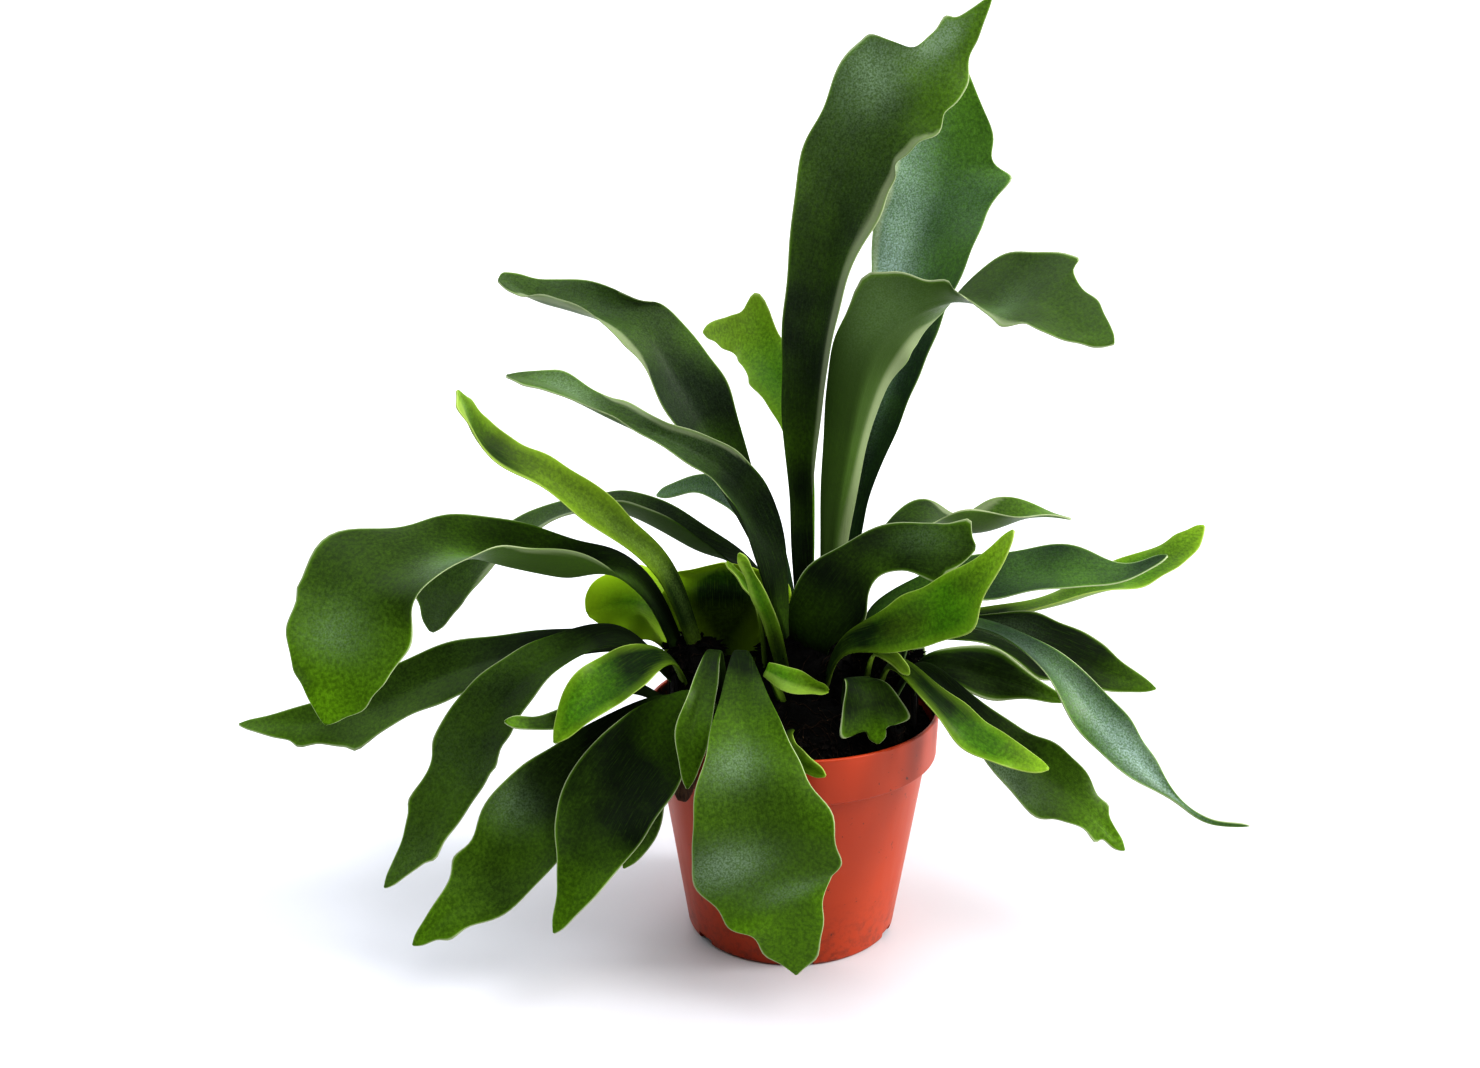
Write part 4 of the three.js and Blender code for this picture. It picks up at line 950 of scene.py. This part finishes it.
def apply_modifiers(item):
    graph = bpy.context.evaluated_depsgraph_get()
    mesh = bpy.data.meshes.new_from_object(item.evaluated_get(graph))
    item.modifiers.clear()
    item.data = mesh


# ---- potting mix and crown ----
def bumps(x, y, layers):
    """Seeded layers of waves over the plane, each up to about its own height."""
    total = 0
    for height, seed, waves, shortest, longest in layers:
        rng = random.Random(seed)
        layer = np.zeros_like(x)
        for _ in range(waves):
            turn, wavelength = rng.uniform(0, pi), rng.uniform(shortest, longest)
            layer += np.sin((x * cos(turn) + y * sin(turn)) * tau / wavelength
                            + rng.uniform(0, tau))
        total = total + height * (layer / sqrt(waves) * WAVE_SUM)
    return total


def mound(name, radius, bottom, height_at, rings, sides, material):
    """A closed body with a flat underside and a top that height_at gives."""
    radii = np.linspace(0, radius, rings + 1)[1:]
    angles = np.linspace(0, tau, sides, endpoint=False)
    r, a = np.meshgrid(radii, angles, indexing="ij")
    x, y = r * np.cos(a), r * np.sin(a)
    top = np.stack([x, y, height_at(x, y)], axis=-1)
    rim = np.stack([x[-1], y[-1], np.full(sides, float(bottom))], axis=-1)
    middle = float(height_at(np.zeros(1), np.zeros(1))[0])
    points, faces = closed_body([*top, rim], [(0, 0, middle), (0, 0, bottom)], reverse=True)
    return make_object(name, points, faces, material)


def soil_height(x, y):
    edge = smoothstep(np.hypot(x, y), SOIL_RADIUS - SOIL_EDGE["width"], SOIL_RADIUS)
    return SOIL_TOP - SOIL_SINK + bumps(x, y, SOIL_BUMPS) - SOIL_EDGE["drop"] * edge


def crown_height(x, y):
    r = np.hypot(x, y)
    height = CROWN_FOOT + np.interp(r / CROWN_RADIUS, *CROWN_OUTLINE) * CROWN_RISE
    for px, py, top, radius in GROWING_POINTS:
        near = 1 - ((x - px) ** 2 + (y - py) ** 2) / radius ** 2
        middle = (top + CROWN_FOOT) / 2
        knob = middle + (top - middle) * np.sqrt(np.clip(near, 0, 1))
        height = np.where(near > 0, np.maximum(height, knob), height)
    inside = smoothstep(CROWN_RADIUS - r, 0, CROWN_SMOOTH_EDGE)
    return height + bumps(x, y, CROWN_BUMPS) * inside - CROWN_SINK


def make_soil_and_crown():
    soil = mound("potting_mix_top", SOIL_RADIUS, SOIL_FOOT, soil_height, 46, 220,
                 MATERIALS["potting_mix"])
    keep_piece(soil, "potting_mix", "soil")
    crown = mound("crown_rhizomes", CROWN_RADIUS, CROWN_BOTTOM, crown_height, 60, 200,
                  MATERIALS["crown_fibre"])
    keep_piece(crown, "crown_fibre", "crown")


# ---- small matter: crumbs, scales and roots ----
def surface_height(x, y):
    """Height of the mix or of the crown, whichever is on top."""
    x, y = np.array([x], dtype=float), np.array([y], dtype=float)
    ground = soil_height(x, y)
    if np.hypot(x, y)[0] < CROWN_RADIUS:
        ground = np.maximum(ground, crown_height(x, y))
    return float(ground[0])


def crumb_shape():
    """Corner points and faces of a small icosahedron."""
    g = (1 + sqrt(5)) / 2
    corners = [(-1, g, 0), (1, g, 0), (-1, -g, 0), (1, -g, 0), (0, -1, g), (0, 1, g), (0, -1, -g),
               (0, 1, -g), (g, 0, -1), (g, 0, 1), (-g, 0, -1), (-g, 0, 1)]
    faces = [(0, 11, 5), (0, 5, 1), (0, 1, 7), (0, 7, 10), (0, 10, 11), (1, 5, 9), (5, 11, 4),
             (11, 10, 2), (10, 7, 6), (7, 1, 8), (3, 9, 4), (3, 4, 2), (3, 2, 6), (3, 6, 8),
             (3, 8, 9), (4, 9, 5), (2, 4, 11), (6, 2, 10), (8, 6, 7), (9, 8, 1)]
    return unit(np.array(corners)), faces


def make_crumbs():
    """Crumbs of peat and bark on the mix, thickest where it shows inside the rim."""
    rng = random.Random(SEEDS["crumbs"])
    corners, shape = crumb_shape()
    points, faces = [], []
    for _ in range(CRUMBS["count"]):
        radius = rng.uniform(CRUMBS["from"], SOIL_RADIUS - CRUMBS["rim_gap"])
        x, y = polar(radius, rng.uniform(0, tau))
        size = rng.choice(CRUMBS["sizes"]) * rng.uniform(*CRUMBS["spread"])
        spin = rng.uniform(0, pi)
        crumb = corners * np.array([rng.uniform(*form) for form in CRUMBS["forms"]])
        crumb = crumb * np.array([[rng.uniform(*CRUMBS["dents"])] for _ in corners]) * size
        crumb = np.stack([*spun(crumb[:, 0], crumb[:, 1], spin), crumb[:, 2]], axis=1)
        reach = np.hypot(crumb[:, 0], crumb[:, 1]).max()
        pull = min(1, (SOIL_RADIUS - CRUMBS["least_gap"] - reach) / radius)
        base = len(points)
        height = surface_height(x * pull, y * pull) + size * CRUMBS["rise"]
        points += [tuple(p) for p in crumb + np.array((x * pull, y * pull, height))]
        faces += [tuple(base + i for i in face) for face in shape]
    crumbs = make_object("potting_mix_crumbs", points, faces, MATERIALS["potting_mix"],
                         smooth=False)
    return keep_piece(crumbs, "potting_mix")


def tube(points, faces, path, radii, sides=5):
    """Adds a closed tapering tube along a path."""
    path = np.array(path)
    faces += tube_faces(len(points), len(path), sides)
    guide = np.array((0.3, 0.2, 0.93))
    for centre, way, radius in zip(path, unit(np.gradient(path, axis=0)), radii):
        across = unit(np.cross(way, guide))
        over = np.cross(across, way)
        for k in range(sides):
            a = tau * k / sides
            points.append(tuple(centre + radius * (across * cos(a) + over * sin(a))))


def make_roots():
    """Wiry roots and bark fibres that creep over the crown and lie on the mix."""
    rng = random.Random(SEEDS["roots"])
    points, faces, wander = [], [], ROOTS["wander"]
    for _ in range(ROOTS["count"]):
        everywhere = (ROOTS["from"], SOIL_RADIUS - ROOTS["start_gap"])
        radius = rng.uniform(*(everywhere if rng.random() < 0.5 else ROOTS["by_rim"]))
        x, y = polar(radius, rng.uniform(0, tau))
        way, bend = rng.uniform(0, tau), rng.uniform(-wander, wander)
        steps, thick = rng.randint(*ROOTS["steps"]), rng.uniform(*ROOTS["radius"])
        path = []
        for _ in range(steps):
            pull = min(1, (SOIL_RADIUS - ROOTS["rim_gap"]) / max(hypot(x, y), 1))
            x, y = x * pull, y * pull
            path.append((x, y, surface_height(x, y) + ROOTS["rise"] + rng.uniform(*ROOTS["lift"])))
            way += bend + rng.uniform(-wander, wander)
            step = polar(ROOTS["step"], way)
            x, y = x + step[0], y + step[1]
        tube(points, faces, path, [thick * (1 - ROOTS["taper"] * k / steps) for k in range(steps)])
    roots = make_object("crown_root_fibres", points, faces, ROOT_MATERIAL)
    return keep_piece(roots, "crown_fibre")


def make_scales():
    """Narrow papery scales on the rhizomes, standing up round the growing points."""
    rng = random.Random(SEEDS["scales"])
    points, faces = [], []
    thin, droop = SCALES["half_thick"], np.array((0, 0, -SCALES["droop"]))
    for px, py, _, radius in GROWING_POINTS:
        for _ in range(SCALES["count"]):
            turn = rng.uniform(0, tau)
            x, y = polar(radius * sqrt(rng.random()) * SCALES["spread"], turn)
            x, y = px + x, py + y
            foot = np.array((x, y, surface_height(x, y) - SCALES["sink"]))
            lean = unit(np.array((*polar(SCALES["outward"], turn), rng.uniform(*SCALES["upward"]))))
            flat = unit(np.cross(lean, np.array((rng.uniform(-1, 1), rng.uniform(-1, 1), 0.2))))
            thick = np.cross(lean, flat)
            long, wide = rng.uniform(*SCALES["long"]), rng.uniform(*SCALES["half_width"])
            if np.hypot(*(foot + lean * long)[:2]) > SOIL_RADIUS - SCALES["rim_gap"]:
                continue
            faces += tube_faces(len(points), len(SCALE_OUTLINE), 4)
            for share, size in SCALE_OUTLINE:
                for u, v in ((-1, -thin), (1, -thin), (1, thin), (-1, thin)):
                    curl = lean * long * share + droop * share ** 2
                    points.append(tuple(foot + curl + flat * u * wide * size + thick * v * size))
    scales = make_object("crown_scales", points, faces, MATERIALS["crown_fibre"], smooth=False)
    return keep_piece(scales, "crown_fibre")


# ---- camera, stage and light ----
def make_camera():
    data = bpy.data.cameras.new("camera")
    data.sensor_width = SENSOR_WIDTH
    data.lens = FOCAL_PIXELS / IMAGE_WIDTH * SENSOR_WIDTH
    turn = (radians(90 - CAMERA_PITCH), 0, 0)
    bpy.context.scene.camera = add_item("camera", data, EYE_MM * MM, turn)


def make_floor():
    half = FLOOR_HALF_WIDTH / MM
    corners = [(-half, -half, 0), (half, -half, 0), (half, half, 0), (-half, half, 0)]
    make_object("stage_floor", corners, [(0, 1, 2, 3)], stage_material(), smooth=False)


def lamp(name, kind, place, aim, power, tint, **form):
    """A lamp at a place that points at its aim, in metres."""
    data = bpy.data.lights.new(name, kind)
    data.energy, data.color = power, tint
    for key, value in form.items():
        setattr(data, key, value)
    turn = (Vector(aim) - Vector(place)).to_track_quat("-Z", "Y").to_euler()
    add_item(name, data, place, turn)


def make_light():
    lamp("key_light", "SUN", (1.5, -0.05, 0.9), (0, 0, 0), 1.9, (1.0, 0.985, 0.96),
         angle=radians(12))
    for name, place, aim_height, size, power, tint in (
            ("top_light", (-0.5, -0.1, 1.2), 0.2, 1.0, 4.5, (0.88, 0.95, 1.0)),
            ("fill_light", (0.45, -0.7, 1.1), 0.1, 0.6, 3.5, (1.0, 0.99, 0.97)),
            ("edge_light", (0.9, -0.3, 0.35), 0.06, 0.4, 3.0, (1.0, 0.97, 0.94))):
        lamp(name, "AREA", place, (0, 0, aim_height), power, tint, shape="DISK", size=size)
    world = bpy.data.worlds.new("pale_room")
    world.use_nodes = True
    tree = world.node_tree
    way = make_node(tree, "SeparateXYZ",
                    {0: make_node(tree, "TexCoord").outputs["Generated"]})
    behind = maths(tree, "ADD", way.outputs[1],
                   maths(tree, "MULTIPLY", way.outputs[2], ROOM_LIGHT["height_share"]))
    glow = ranged(tree, behind, ROOM_LIGHT["from"], ROOM_LIGHT["to"],
                  ROOM_LIGHT["front"], ROOM_LIGHT["behind"])
    feed(tree, tree.nodes["Background"], {"Color": (0.96, 0.98, 1.0), "Strength": glow})
    bpy.context.scene.world = world
    bpy.context.scene.view_settings.view_transform = "Standard"
    bpy.context.scene.view_settings.look = "High Contrast"


# ---- assembly ----
make_camera()
make_floor()
make_light()
make_pot()
make_soil_and_crown()
make_crumbs()
make_roots()
make_scales()
for number, (frond_name, frond_spec) in enumerate(FRONDS.items()):
    strap(frond_name, frond_spec, number)
